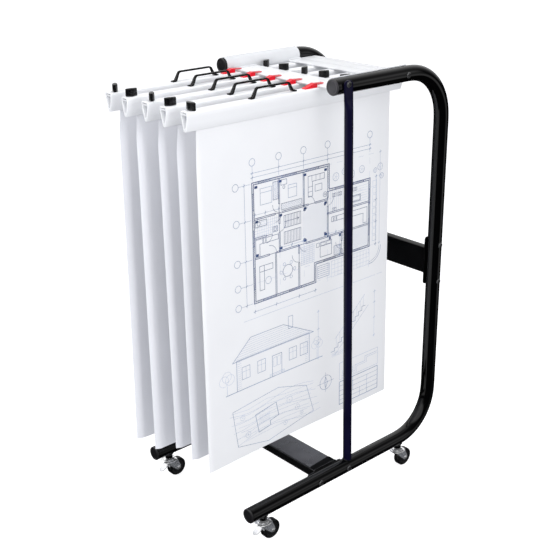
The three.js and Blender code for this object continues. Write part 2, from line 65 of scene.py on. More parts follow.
# ----------------------------------------------------------------- materials
def material(name, color, rough, metal=0.0, var=0.12, var_scale=30.0, rough_var=0.06, bump=0.04, bump_scale=1200.0,
             bump_dist=0.0002, stretch=(1, 1, 1), coat=0.0, coat_rough=0.08, spec=0.5, speck=0.0, speck_color=(0.5, 0.5, 0.5),
             edge=0.0, painted_edge_highlight_color=None, sheen=0.0, subsurface=0.0):
    m = bpy.data.materials.new(name)
    m.use_nodes = True
    nt = m.node_tree
    nt.nodes.clear()
    new, link = nt.nodes.new, nt.links.new
    out = new("ShaderNodeOutputMaterial")
    sh = new("ShaderNodeBsdfPrincipled")
    link(sh.outputs["BSDF"], out.inputs["Surface"])
    sh.inputs["Metallic"].default_value = metal
    sh.inputs["Specular IOR Level"].default_value = spec
    sh.inputs["Coat Weight"].default_value = coat
    sh.inputs["Coat Roughness"].default_value = coat_rough
    sh.inputs["Sheen Weight"].default_value = sheen
    if subsurface:
        sh.inputs["Subsurface Weight"].default_value = subsurface
        sh.inputs["Subsurface Radius"].default_value = (0.002, 0.002, 0.002)
    co = new("ShaderNodeTexCoord")
    mp = new("ShaderNodeMapping")
    mp.inputs["Scale"].default_value = stretch
    link(co.outputs["Object"], mp.inputs["Vector"])
    n1 = new("ShaderNodeTexNoise")
    n1.inputs["Scale"].default_value = var_scale
    n1.inputs["Detail"].default_value = 6.0
    link(mp.outputs["Vector"], n1.inputs["Vector"])
    ramp = new("ShaderNodeValToRGB")
    ramp.color_ramp.elements[0].position = 0.3
    ramp.color_ramp.elements[1].position = 0.7
    lo = tuple(c * (1 - var) for c in color) + (1,)
    hi = tuple(min(1.0, c * (1 + var)) for c in color) + (1,)
    ramp.color_ramp.elements[0].color = lo
    ramp.color_ramp.elements[1].color = hi
    link(n1.outputs["Fac"], ramp.inputs["Fac"])
    tint = ramp.outputs["Color"]
    if speck:
        n4 = new("ShaderNodeTexNoise")
        n4.inputs["Scale"].default_value = 420.0
        n4.inputs["Detail"].default_value = 2.0
        link(co.outputs["Object"], n4.inputs["Vector"])
        r4 = new("ShaderNodeValToRGB")
        r4.color_ramp.elements[0].position = 0.70
        r4.color_ramp.elements[1].position = 0.80
        r4.color_ramp.elements[1].color = (speck, speck, speck, 1)
        link(n4.outputs["Fac"], r4.inputs["Fac"])
        mx = new("ShaderNodeMix")
        mx.data_type = "RGBA"
        link(r4.outputs["Color"], mx.inputs["Factor"])
        link(tint, mx.inputs["A"])
        mx.inputs["B"].default_value = tuple(speck_color) + (1,)
        tint = mx.outputs["Result"]
    # painted highlight: a lighter colour mixed in on convex edges (by pointiness), as strong as edge
    if edge:
        g = new("ShaderNodeNewGeometry")
        r5 = new("ShaderNodeValToRGB")
        r5.color_ramp.elements[0].position = 0.53
        r5.color_ramp.elements[1].position = 0.62
        r5.color_ramp.elements[1].color = (edge, edge, edge, 1)
        link(g.outputs["Pointiness"], r5.inputs["Fac"])
        mx = new("ShaderNodeMix")
        mx.data_type = "RGBA"
        link(r5.outputs["Color"], mx.inputs["Factor"])
        link(tint, mx.inputs["A"])
        mx.inputs["B"].default_value = tuple(painted_edge_highlight_color or tuple(min(1, c * 2 + 0.02) for c in color)) + (1,)
        tint = mx.outputs["Result"]
    link(tint, sh.inputs["Base Color"])
    n2 = new("ShaderNodeTexNoise")
    n2.inputs["Scale"].default_value = var_scale * 2.3
    n2.inputs["Detail"].default_value = 5.0
    link(mp.outputs["Vector"], n2.inputs["Vector"])
    mr = new("ShaderNodeMapRange")
    mr.inputs["From Min"].default_value = 0.3
    mr.inputs["From Max"].default_value = 0.7
    mr.inputs["To Min"].default_value = max(0.02, rough - rough_var)
    mr.inputs["To Max"].default_value = min(1.0, rough + rough_var)
    link(n2.outputs["Fac"], mr.inputs["Value"])
    link(mr.outputs["Result"], sh.inputs["Roughness"])
    if bump:
        n3 = new("ShaderNodeTexNoise")
        n3.inputs["Scale"].default_value = bump_scale
        n3.inputs["Detail"].default_value = 3.0
        link(mp.outputs["Vector"], n3.inputs["Vector"])
        bp = new("ShaderNodeBump")
        bp.inputs["Strength"].default_value = bump
        bp.inputs["Distance"].default_value = bump_dist
        link(n3.outputs["Fac"], bp.inputs["Height"])
        link(bp.outputs["Normal"], sh.inputs["Normal"])
    return m


M_FRAME = material("frame_gloss_black", (0.0010, 0.0010, 0.0012), 0.065, var=0.25, var_scale=18, rough_var=0.015, bump=0.02, bump_scale=420,
                   spec=0.42, speck=0.08, speck_color=(0.005, 0.005, 0.006))
M_POST = material("post_navy_black", (0.0040, 0.0034, 0.018), 0.22, var=0.25, var_scale=18, rough_var=0.05, bump=0.02, bump_scale=420,
                  spec=0.14)
M_BEAM = material("beam_black", (0.005, 0.005, 0.0055), 0.15, var=0.25, var_scale=14, rough_var=0.04, bump=0.04, bump_scale=520,
                  spec=0.6, coat=0.6, coat_rough=0.10, speck=0.12, speck_color=(0.012, 0.012, 0.013))
# grey for the flat top face of the black floor beam: painted sheen standing in for the reflection on that face
M_BEAM_TOP_PAINTED_SHEEN = material("beam_top_painted_sheen", (0.082, 0.082, 0.088), 0.16, var=0.3, var_scale=10, rough_var=0.05, bump=0.04, bump_scale=520,
                      spec=1.0, coat=1.0, coat_rough=0.10, speck=0.12, speck_color=(0.05, 0.05, 0.053))

M_BAR = material("bar_black", (0.0008, 0.0008, 0.0009), 0.20, var=0.25, var_scale=14, rough_var=0.04, bump=0.04, bump_scale=520,
                 spec=0.1, speck=0.10, speck_color=(0.003, 0.003, 0.004))
# edge on the caps and nut paints a lighter colour on their convex edges: painted highlight
M_CAP = material("end_cap_plastic", (0.008, 0.0075, 0.009), 0.36, var=0.2, var_scale=120, bump=0.12, bump_scale=2600, edge=0.35, painted_edge_highlight_color=(0.06, 0.06, 0.06))
# the paler colour of the right top cap is painted light, standing in for light that cap catches
M_CAP_PAINTED_LIGHT = material("end_cap_painted_light", (0.034, 0.0325, 0.037), 0.34, var=0.18, var_scale=60, bump=0.12, bump_scale=2600, edge=0.25)
M_NUT = material("nut_black", (0.006, 0.006, 0.007), 0.16, var=0.2, var_scale=90, bump=0.05, bump_scale=1800, spec=1.0, edge=0.7, painted_edge_highlight_color=(0.22, 0.22, 0.22))
M_WHITE = material("rail_white_paint", (0.83, 0.835, 0.84), 0.36, var=0.02, var_scale=24, bump=0.05, bump_scale=900, coat=0.15)
# the rail covers and the rear rail are the same white paint as the front rail, set greyer: painted shade
M_COVER_PAINTED_SHADE = material("cover_white_painted_shade", (0.66, 0.67, 0.685), 0.40, var=0.03, var_scale=24, bump=0.05, bump_scale=900, coat=0.1)
M_RAIL_PAINTED_SHADE = material("rear_rail_painted_shade", (0.72, 0.725, 0.735), 0.38, var=0.03, var_scale=24, bump=0.05, bump_scale=900, coat=0.1)
M_CLAMP = material("clamp_white_coat", (0.915, 0.92, 0.93), 0.40, var=0.02, var_scale=30, bump=0.03, bump_scale=700,
                   stretch=(1, 0.03, 1), coat=0.08)
M_JAW = material("jaw_white", (0.66, 0.68, 0.73), 0.5, var=0.04, var_scale=40, bump=0.05, bump_scale=900, stretch=(1, 0.05, 1))
# the caster platings are metal but only partly metallic here; their diffuse light grey is painted reflection of a
# bright studio
M_CHROME_PAINTED_REFLECTION = material("bright_plating_painted_reflection", (0.95, 0.955, 0.965), 0.08, metal=0.86, var=0.04, var_scale=60, rough_var=0.04, bump=0.02, bump_scale=600, spec=1.0)
M_PEDAL_PAINTED_REFLECTION = material("pedal_plating_painted_reflection", (0.74, 0.745, 0.76), 0.18, metal=0.35, var=0.04, var_scale=60, rough_var=0.05, bump=0.02, bump_scale=600, spec=1.0)
M_LEG_PAINTED_REFLECTION = material("leg_plating_painted_reflection", (0.36, 0.37, 0.39), 0.28, metal=0.55, var=0.10, var_scale=80, rough_var=0.08, bump=0.05, bump_scale=900)
M_STEEL = material("dull_plating", (0.40, 0.41, 0.43), 0.28, metal=1.0, var=0.12, var_scale=80, rough_var=0.1, bump=0.05, bump_scale=900)
M_RUBBER = material("wheel_rubber", (0.0045, 0.0045, 0.005), 0.30, var=0.3, var_scale=60, rough_var=0.1, bump=0.12, bump_scale=1600,
                    spec=0.35, speck=0.25, speck_color=(0.016, 0.016, 0.017))
M_HUB = material("wheel_hub", (0.008, 0.008, 0.009), 0.40, var=0.2, var_scale=90, bump=0.08, bump_scale=1800)
# edge on the knob, handle and hook materials paints a lighter colour on their convex edges: painted highlight
M_KNOB = material("knob_plastic", (0.0035, 0.0035, 0.004), 0.28, var=0.25, var_scale=150, rough_var=0.06, bump=0.06, bump_scale=2600, spec=0.40,
                  edge=0.75, painted_edge_highlight_color=(0.060, 0.061, 0.063))
M_HANDLE = material("handle_plastic", (0.0018, 0.0018, 0.002), 0.26, var=0.25, var_scale=120, rough_var=0.06, bump=0.06, bump_scale=2200, spec=0.14,
                    edge=0.3, painted_edge_highlight_color=(0.014, 0.014, 0.015))
M_RED = material("hook_red", (0.72, 0.006, 0.020), 0.3, var=0.08, var_scale=120, rough_var=0.05, bump=0.04, bump_scale=1800, spec=0.35,
                 edge=0.25, painted_edge_highlight_color=(0.95, 0.10, 0.09))
# paler red with pink edges for the hook's arm: painted highlight on its glossy top
M_ARM_PAINTED_HIGHLIGHT = material("hook_arm_red_painted_highlight", (0.68, 0.10, 0.11), 0.24, var=0.10, var_scale=120, rough_var=0.05, bump=0.04, bump_scale=1800,
                 edge=0.3, painted_edge_highlight_color=(0.92, 0.42, 0.42))
M_PAPER = material("drawing_paper", (0.845, 0.848, 0.858), 0.82, var=0.012, var_scale=9, rough_var=0.05, bump=0.10, bump_scale=1500, spec=0.15)
# cooler, darker paper for the four inner sheets: painted shade for the blue-grey shade between the sheets
M_PAPER_PAINTED_SHADE = material("drawing_paper_painted_shade", (0.825, 0.831, 0.862), 0.82, var=0.012, var_scale=9, rough_var=0.05, bump=0.10, bump_scale=1500, spec=0.15)
INKS = [material("ink_dark", (0.050, 0.080, 0.19), 0.8, var=0.35, var_scale=22, bump=0.03, spec=0.15),
        material("ink_mid", (0.16, 0.225, 0.38), 0.8, var=0.25, var_scale=22, bump=0.03, spec=0.15),
        material("ink_faint", (0.40, 0.465, 0.60), 0.8, var=0.15, var_scale=22, bump=0.03, spec=0.15)]


# ------------------------------------------------------------------- builders
class Shells:
    def __init__(self):
        self.v, self.f, self.m = [], [], []

    def add(self, verts, faces, mi=0):
        o = len(self.v)
        self.v.extend(tuple(float(c) for c in p) for p in verts)
        for f in faces:
            self.f.append([o + i for i in f])
            self.m.append(mi)

    def rings(self, rings, mi=0, caps=True, loop=False):
        n = len(rings[0])
        verts = [p for r in rings for p in r]
        faces = []
        last = len(rings) if loop else len(rings) - 1
        for k in range(last):
            k2 = (k + 1) % len(rings)
            for i in range(n):
                j = (i + 1) % n
                faces.append((k * n + i, k * n + j, k2 * n + j, k2 * n + i))
        if caps and not loop:
            faces.append(tuple(reversed(range(n))))
            faces.append(tuple(range((len(rings) - 1) * n, len(rings) * n)))
        self.add(verts, faces, mi)

    def lathe(self, prof, n, at, mi=0, closed=False):
        verts, idx, faces = [], [], []
        for r, h in prof:
            if r < 1e-6:
                idx.append([len(verts)])
                verts.append(at(0, 0, h))
            else:
                idx.append(list(range(len(verts), len(verts) + n)))
                for i in range(n):
                    a = 2 * math.pi * i / n
                    verts.append(at(r * math.cos(a), r * math.sin(a), h))
        pairs = list(zip(idx, idx[1:])) + ([(idx[-1], idx[0])] if closed else [])
        for a, b in pairs:
            for i in range(n):
                j = (i + 1) % n
                if len(a) == 1 and len(b) == 1:
                    continue
                if len(a) == 1:
                    faces.append((a[0], b[j], b[i]))
                elif len(b) == 1:
                    faces.append((a[i], a[j], b[0]))
                else:
                    faces.append((a[i], a[j], b[j], b[i]))
        self.add(verts, faces, mi)

    def prism(self, poly, axis, a, b, mi=0, holes=(), at=None):
        def put(u, v, w):
            p = {"x": (w, u, v), "y": (u, w, v), "z": (u, v, w)}[axis]
            return at(*p) if at else p
        loops = [list(poly)] + [list(h) for h in holes]
        flat = [p for lp in loops for p in lp]
        n = len(flat)
        verts = [put(u, v, a) for u, v in flat] + [put(u, v, b) for u, v in flat]
        faces = []
        if holes:
            tris = tessellate_polygon([[Vector((u, v, 0)) for u, v in lp] for lp in loops])
            faces += [tuple(t) for t in tris] + [tuple(n + i for i in reversed(t)) for t in tris]
        else:
            faces += [tuple(range(n)), tuple(n + i for i in reversed(range(n)))]
        o = 0
        for lp in loops:
            k = len(lp)
            for i in range(k):
                j = (i + 1) % k
                faces.append((o + i, o + j, n + o + j, n + o + i))
            o += k
        self.add(verts, faces, mi)


def placed(origin, z=(0, 0, 1), x=None):
    o, w = Vector(origin), Vector(z).normalized()
    u = Vector(x) if x else (Vector((1, 0, 0)) if abs(w.x) < 0.9 else Vector((0, 1, 0)))
    u = (u - w * u.dot(w)).normalized()
    v = w.cross(u)
    return lambda a, b, c: tuple(o + u * a + v * b + w * c)


def piece(name, shells, mats, body, nodes=(), angle=38, bevel=0.0, seg=2, bevel_angle=35, weld=True):
    me = bpy.data.meshes.new(name)
    me.from_pydata([(x * MM, y * MM, z * MM) for x, y, z in shells.v], [], shells.f)
    mats = mats if isinstance(mats, (list, tuple)) else [mats]
    for m in mats:
        me.materials.append(m)
    me.polygons.foreach_set("material_index", shells.m)
    bm = bmesh.new()
    bm.from_mesh(me)
    if weld:
        bmesh.ops.remove_doubles(bm, verts=bm.verts, dist=2e-6)
    bmesh.ops.recalc_face_normals(bm, faces=bm.faces)
    bm.to_mesh(me)
    bm.free()
    me.shade_smooth()
    me.set_sharp_from_angle(angle=math.radians(angle))
    ob = bpy.data.objects.new(name, me)
    scene.collection.objects.link(ob)
    if bevel:
        b = ob.modifiers.new("edges", "BEVEL")
        b.width = bevel * MM
        b.segments = seg
        b.limit_method = "ANGLE"
        b.angle_limit = math.radians(bevel_angle)
        b.harden_normals = False
        b.use_clamp_overlap = True
    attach(ob, body)
    if nodes:
        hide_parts(*nodes)
    return ob


def rounded(poly, r, n=4):
    """A closed outline with every corner rounded; r is one radius or one per corner."""
    out = []
    k = len(poly)
    for i in range(k):
        p = Vector(poly[i]); a = Vector(poly[i - 1]) - p; b = Vector(poly[(i + 1) % k]) - p
        rad = r[i] if isinstance(r, (list, tuple)) else r
        la, lb = a.length, b.length
        a.normalize(); b.normalize()
        ang = math.acos(max(-1, min(1, a.dot(b))))
        if rad < 1e-6 or ang > math.pi - 0.02:
            out.append(tuple(p))
            continue
        t = min(rad / math.tan(ang / 2), 0.48 * la, 0.48 * lb)
        rr = t * math.tan(ang / 2)
        c = p + (a + b).normalized() * (rr / math.sin(ang / 2))
        s, e = p + a * t - c, p + b * t - c
        turn = s.angle_signed(e)
        for q in range(n + 1):
            w = s.copy()
            w.rotate(Matrix.Rotation(-turn * q / n, 2))
            out.append(tuple(c + w))
    return out


def offset_path(path, left, right):
    """A strap outline around an open polyline: offsets to its two sides."""
    pts = [Vector(p) for p in path]
    nrm = []
    for i in range(len(pts)):
        d = Vector((0, 0))
        if i > 0:
            d += (pts[i] - pts[i - 1]).normalized()
        if i < len(pts) - 1:
            d += (pts[i + 1] - pts[i]).normalized()
        d.normalize()
        base = (pts[i] - pts[i - 1]).normalized() if i > 0 else (pts[1] - pts[0]).normalized()
        k = 1 / max(0.35, d.dot(base))
        nrm.append(Vector((-d.y, d.x)) * k)
    a = [tuple(p + n * left) for p, n in zip(pts, nrm)]
    b = [tuple(p - n * right) for p, n in zip(pts, nrm)]
    return a + b[::-1]


def filleted(path, r, n=5):
    """An open polyline with its inner corners rounded."""
    out = [tuple(path[0])]
    for i in range(1, len(path) - 1):
        p = Vector(path[i]); a = Vector(path[i - 1]) - p; b = Vector(path[i + 1]) - p
        la, lb = a.length, b.length
        a.normalize(); b.normalize()
        ang = math.acos(max(-1, min(1, a.dot(b))))
        if ang > math.pi - 0.02:
            out.append(tuple(p))
            continue
        t = min(r / math.tan(ang / 2), 0.48 * la, 0.48 * lb)
        for q in range(n + 1):
            s = q / n
            out.append(tuple(p + a * t * (1 - s) ** 2 + b * t * s ** 2))
    out.append(tuple(path[-1]))
    return out


def ellipse_ring(c, e1, e2, a, b, n, power=1.0):
    c, e1, e2 = Vector(c), Vector(e1), Vector(e2)
    r = []
    for i in range(n):
        t = 2 * math.pi * i / n
        ct, st = math.cos(t), math.sin(t)
        r.append(tuple(c + e1 * a * math.copysign(abs(ct) ** power, ct) + e2 * b * math.copysign(abs(st) ** power, st)))
    return r


# ------------------------------------------------------------- side frames
def frame_path(x, steps=22):
    pts = [((x, Y_HIGH_FRONT, Z_HIGH), (0, 1, 0))]
    for i in range(6):
        y = Y_HIGH_FRONT + (Y_REAR - BEND_HIGH - Y_HIGH_FRONT) * (i + 1) / 7
        pts.append(((x, y, Z_HIGH), (0, 1, 0)))
    for i in range(steps + 1):
        a = math.pi / 2 * (1 - i / steps)
        pts.append(((x, Y_REAR - BEND_HIGH + BEND_HIGH * math.cos(a), Z_HIGH - BEND_HIGH + BEND_HIGH * math.sin(a)),
                    (0, math.sin(a), -math.cos(a))))
    for i in range(10):
        z = (Z_HIGH - BEND_HIGH) + (Z_LOW + BEND_LOW - Z_HIGH + BEND_HIGH) * (i + 1) / 11
        pts.append(((x, Y_REAR, z), (0, 0, -1)))
    for i in range(steps + 1):
        a = -math.pi / 2 * (i / steps)
        pts.append(((x, Y_REAR - BEND_LOW + BEND_LOW * math.cos(a), Z_LOW + BEND_LOW + BEND_LOW * math.sin(a)),
                    (0, math.sin(a), -math.cos(a))))
    for i in range(8):
        y = (Y_REAR - BEND_LOW) + (Y_LOW_FRONT - Y_REAR + BEND_LOW) * (i + 1) / 8
        pts.append(((x, y, Z_LOW), (0, -1, 0)))
    return eased(pts)


def eased(pts, reach=24.0, step=6.0):
    """The path resampled evenly and averaged over a short reach, so that each bend sets in gently."""
    p = np.array([q[0] for q in pts], float)
    s = np.concatenate([[0], np.cumsum(np.linalg.norm(np.diff(p, axis=0), axis=1))])
    def at(t):
        t = np.clip(t, 0, s[-1])
        return np.stack([np.interp(t, s, p[:, k]) for k in range(3)], axis=-1)
    t = np.linspace(0, s[-1], int(s[-1] / step) + 1)
    off = np.linspace(-1, 1, 13)
    wide = np.minimum(reach, np.minimum(t, s[-1] - t))
    mid = np.mean([at(t + wide * k) for k in off], axis=0)
    way = np.gradient(mid, axis=0)
    way /= np.linalg.norm(way, axis=1)[:, None]
    way[0], way[-1] = pts[0][1], pts[-1][1]
    return [(tuple(a), tuple(b)) for a, b in zip(mid, way)]


for side, s in SIDES:
    b = Shells()
    rings = []
    for p, t in frame_path(s * HALF):
        t = Vector(t)
        e2 = t.cross(Vector((1, 0, 0)))
        rings.append(ellipse_ring(p, (1, 0, 0), e2, TUBE_R, TUBE_R, 48))
    b.rings(rings)
    for y in CASTER_Y:
        at = placed((s * HALF, y, 0))
        b.lathe([(5.4, 60.3), (9.4, 60.3), (10, 60.9), (10, 68.7), (10.5, 70.1), (11.6, 71.6), (13.2, 73.4), (12.4, 76), (5.4, 76)], 32, at, closed=True)
    tube = piece(f"{side}_frame_tube", b, M_FRAME, "frame", [f"{side}_side_frame"])
    tube.visible_shadow = False

    for where, y, z in (("top", Y_HIGH_FRONT, Z_HIGH), ("bottom", Y_LOW_FRONT, Z_LOW)):
        b = Shells()
        at = placed((s * HALF, y, z), (0, -1, 0))
        b.lathe([(0, 4.1), (3.3, 4.05), (6.6, 3.9), (9.8, 3.62), (12.6, 3.3), (13.4, 3.3), (14.1, 3.8), (14.9, 4.2), (16.2, 4.2), (17.4, 3.8), (18.2, 2.9), (18.55, 1.7),
                 (18.55, 0.7), (18.2, 0.3), (15.7, 0.3), (15.5, -3), (15.9, -4), (15.5, -5), (15.5, -13), (14.4, -14.5), (0, -14.5)], 48, at)
        # the right top cap takes the paler cap colour: painted light
        piece(f"{side}_{where}_cap", b, M_CAP_PAINTED_LIGHT if (side, where) == ("right", "top") else M_CAP, "frame", [f"{side}_{where}_end_cap"], angle=50)

# ------------------------------------------------------------- front posts
def post_axis(z):
    k = (POST_TOP[2] - z) / (POST_TOP[2] - POST_FOOT[2])
    return POST_TOP[0] + (POST_FOOT[0] - POST_TOP[0]) * k, POST_TOP[1] + (POST_FOOT[1] - POST_TOP[1]) * k


for side, s in SIDES:
    rings, n = [], 40
    foot = []
    for i in range(n):
        t = 2 * math.pi * i / n
        x, y = post_axis(106)
        x, y = x + 10.8 * math.cos(t), y + 10.8 * math.sin(t)
        foot.append((s * x, y, Z_LOW + math.sqrt(max(1.0, 18.8 ** 2 - (x - HALF) ** 2))))
    rings.append(foot)
    for k in range(9):
        z = 119 + (Z_HIGH - 58 - 119) * k / 8
        x, y = post_axis(z)
        r = 10.8 - 0.5 * k / 8
        rings.append([(s * (x + r * math.cos(2 * math.pi * i / n)), y + r * math.sin(2 * math.pi * i / n), z) for i in range(n)])
    for k in range(1, 11):
        q = k / 10
        w = q * q * (3 - 2 * q)
        z = Z_HIGH - 58 + 36 * q
        x, y = post_axis(z)
        x = x + (212.8 - x) * w
        a, bb, e = 10.3 + 3.5 * w, 10.3 - 8.3 * w, 1 - 0.58 * w
        rings.append([(s * (x + bb * math.copysign(abs(math.cos(2 * math.pi * i / n)) ** e, math.cos(2 * math.pi * i / n))),
                       y + a * math.copysign(abs(math.sin(2 * math.pi * i / n)) ** (1 - 0.2 * w), math.sin(2 * math.pi * i / n)), z) for i in range(n)])
    for z, a in ((Z_HIGH, 13.8), (Z_HIGH + 5, 13.8), (Z_HIGH + 8, 13.2), (Z_HIGH + 10.8, 11.6), (Z_HIGH + 13, 9.0), (Z_HIGH + 14.4, 6.0), (Z_HIGH + 15, 3.4)):
        y = post_axis(z)[1]
        rings.append([(s * (212.8 + 2 * math.copysign(abs(math.cos(2 * math.pi * i / n)) ** 0.42, math.cos(2 * math.pi * i / n))),
                       y + a * math.copysign(abs(math.sin(2 * math.pi * i / n)) ** 0.8, math.sin(2 * math.pi * i / n)), z) for i in range(n)])
    b = Shells()
    b.rings(rings)
    tube = piece(f"{side}_post_tube", b, M_POST, "frame", [f"{side}_front_post"], angle=50)
    tube.visible_shadow = False
    # the weld round its foot
    b = Shells()
    loops = []
    for i in range(n):
        t = 2 * math.pi * i / n
        x, y = post_axis(106)
        out = (math.cos(t), math.sin(t))
        r = 11.0
        px, py = x + r * out[0], y + r * out[1]
        pz = Z_LOW + math.sqrt(max(1.0, 18.7 ** 2 - (px - HALF) ** 2))
        rad = 1.7 * (1 + 0.12 * math.sin(i * 1.9))
        loops.append([(s * (px + rad * math.cos(2 * math.pi * k / 6) * out[0]), py + rad * math.cos(2 * math.pi * k / 6) * out[1],
                       pz + 0.4 + rad * math.sin(2 * math.pi * k / 6)) for k in range(6)])
    b.rings(loops, loop=True)
    piece(f"{side}_post_weld", b, M_FRAME, "frame", (), angle=60)


# ------------------------------------------------------------ cross members
def cross_member(name, node, tall_z, y0, z0, plate_long, plate_wide, wide=70, shift=0):
    b = Shells()
    w, h = (24, wide) if tall_z else (wide, 24)
    def rr(w, h, r, y0=y0):
        return rounded([(y0 - w / 2, z0 - h / 2), (y0 + w / 2, z0 - h / 2), (y0 + w / 2, z0 + h / 2), (y0 - w / 2, z0 + h / 2)], r, 5)
    b.prism(rr(w, h, 3.2, y0 + shift), "x", -169.9, 169.9)
    pw, ph = (plate_wide, plate_long) if tall_z else (plate_long, plate_wide)
    for s in (-1, 1):
        lo, hi = sorted((s * 169.2, s * 173.2))
        b.prism(rr(pw, ph, 7), "x", lo, hi)
        # weld bead round the tube where it meets the plate
        ring = rr(w, h, 3.2, y0 + shift)
        k = len(ring)
        loops = []
        for i in range(k):
            p = Vector(ring[i]); q = Vector(ring[(i + 1) % k]); o = Vector(ring[i - 1])
            d = (q - o).normalized()
            n = Vector((d.y, -d.x))
            rad = 2.3 * (1 + 0.10 * math.sin(i * 2.1))
            loop = []
            for a in range(6):
                th = math.pi * 2 * a / 6
                u = p + n * (rad * math.cos(th) * 0.9)
                loop.append((s * (169.1 + rad * math.sin(th) * 0.9), u.x, u.y))
            loops.append(loop)
        b.rings(loops, loop=True)
    if not tall_z:
        # thin dark tabs over both ends of the beam's top, where the painted sheen of the top face gives way to black
        yf, yb = y0 + shift - w / 2 + 1.2, y0 + shift + w / 2 - 1.2
        for s in (-1, 1):
            tab = rounded([(s * 169.7, yf), (s * 150.5, yf), (s * 144.5, yb), (s * 169.7, yb)], [0.4, 7, 5, 0.4], 5)
            b.prism(tab, "z", z0 + h / 2 - 0.3, z0 + h / 2 + 0.8, 2)
    # the flat top face of the floor beam takes material 1, the grey of painted sheen
    for k, f in enumerate(b.f):
        if not tall_z and b.m[k] == 0 and all(b.v[q][2] > z0 + h / 2 - 0.01 and abs(b.v[q][0]) > 169.5 for q in f):
            b.m[k] = 1
    return piece(name, b, [M_BAR] if tall_z else [M_BEAM, M_BEAM_TOP_PAINTED_SHEEN, M_BAR], "frame", [node], bevel=0.6)


cross_member("rear_bar", "rear_cross_bar", True, Y_REAR, MID_Z, 130, 28)
cross_member("floor_beam", "base_beam", False, BASE_Y, Z_LOW, 118, 20, 76, 3)


# Low round nuts with a socket, over thin washers.
def round_nut(b, at):
    b.lathe([(0, -0.2), (6.9, -0.2), (7.2, 0.1), (7.2, 0.5), (6.8, 0.8), (0, 0.8)], 32, at, 0)
    b.lathe([(0, 0.7), (6.0, 0.7), (6.1, 1.2), (5.7, 2.2), (4.9, 2.8), (3.7, 3.05), (3.3, 3.0), (3.1, 2.7), (2.9, 1.4), (0, 1.4)], 32, at, 0)


for side, s in SIDES:
    b = Shells()
    for y, z, x in ((Y_REAR, MID_Z + MID_BOLT, 210.6), (Y_REAR, MID_Z - MID_BOLT, 210.6), (BASE_Y - BASE_BOLT, BASE_BOLT_Z, 210.6),
                    (BASE_Y + BASE_BOLT, BASE_BOLT_Z, 210.6), (8.0, 1080.0, 214.9), (209.0, Z_HIGH, 210.6)):
        round_nut(b, placed((s * x, y, z), (s, 0, 0), (0, 0.3, 1)))
    piece(f"{side}_round_nuts", b, M_NUT, "frame", (), angle=40)

# ------------------------------------------------------------- white rails
b = Shells()
z0, z1 = RAIL_Z
b.prism(rounded([(1.2, z0 + 0.2), (72.8, z0), (73, z1), (1.2, z1 - 0.2)], [2.2, 0.8, 0.8, 2.2], 5), "x", -171.4, 171.4)
b.prism(rounded([(40, z1 - 0.3), (70, z1 - 0.3), (70, z1 + 0.7), (40, z1 + 0.7)], 0.3, 2), "x", -163.0, 163.0)
piece("front_white_rail", b, M_WHITE, "frame", ["front_rail"], bevel=0.3)
b = Shells()
b.prism(rounded([(180.7, z0), (278.8, z0), (278.8, z1), (265, z1), (264.2, z1 - 1.4), (262.2, z1 - 1.4), (261.4, z1), (227, z1), (226.2, z1 - 1.8), (223.6, z1 - 1.8), (222.8, z1), (180.7, z1)],
                [2.0, 2.0, 2.0, 0.3, 0.2, 0.2, 0.3, 0.3, 0.2, 0.2, 0.3, 2.0], 3), "x", -171.4, 171.4)
# the rear rail takes the greyer white: painted shade
piece("rear_white_rail", b, M_RAIL_PAINTED_SHADE, "frame", ["rear_rail"], bevel=0.2)

for side, s in SIDES:
    b = Shells()
    outer, inner = [], []
    for i in range(29):
        a = math.radians(93 + (248 - 93) * i / 28)
        outer.append((s * (HALF + 21.2 * math.cos(a)), Z_HIGH + 21.2 * math.sin(a)))
        inner.append((s * (HALF + 18.75 * math.cos(a)), Z_HIGH + 18.75 * math.sin(a)))
    b.prism(outer + inner[::-1], "y", -17.5, 221)
    for y0, y1 in ((7, 69), (184.5, 219)):
        lo, hi = sorted((s * 163.5, s * 172))
        b.prism(rounded([(lo, y0), (hi, y0), (hi, y1), (lo, y1)], 2.0, 3), "z", 1067.2, 1069.5)
    # the covers take the greyer white: painted shade
    cover = piece(f"{side}_white_cover", b, M_COVER_PAINTED_SHADE, "frame", [f"{side}_rail_cover"], bevel=0.7)
    cover.visible_shadow = False


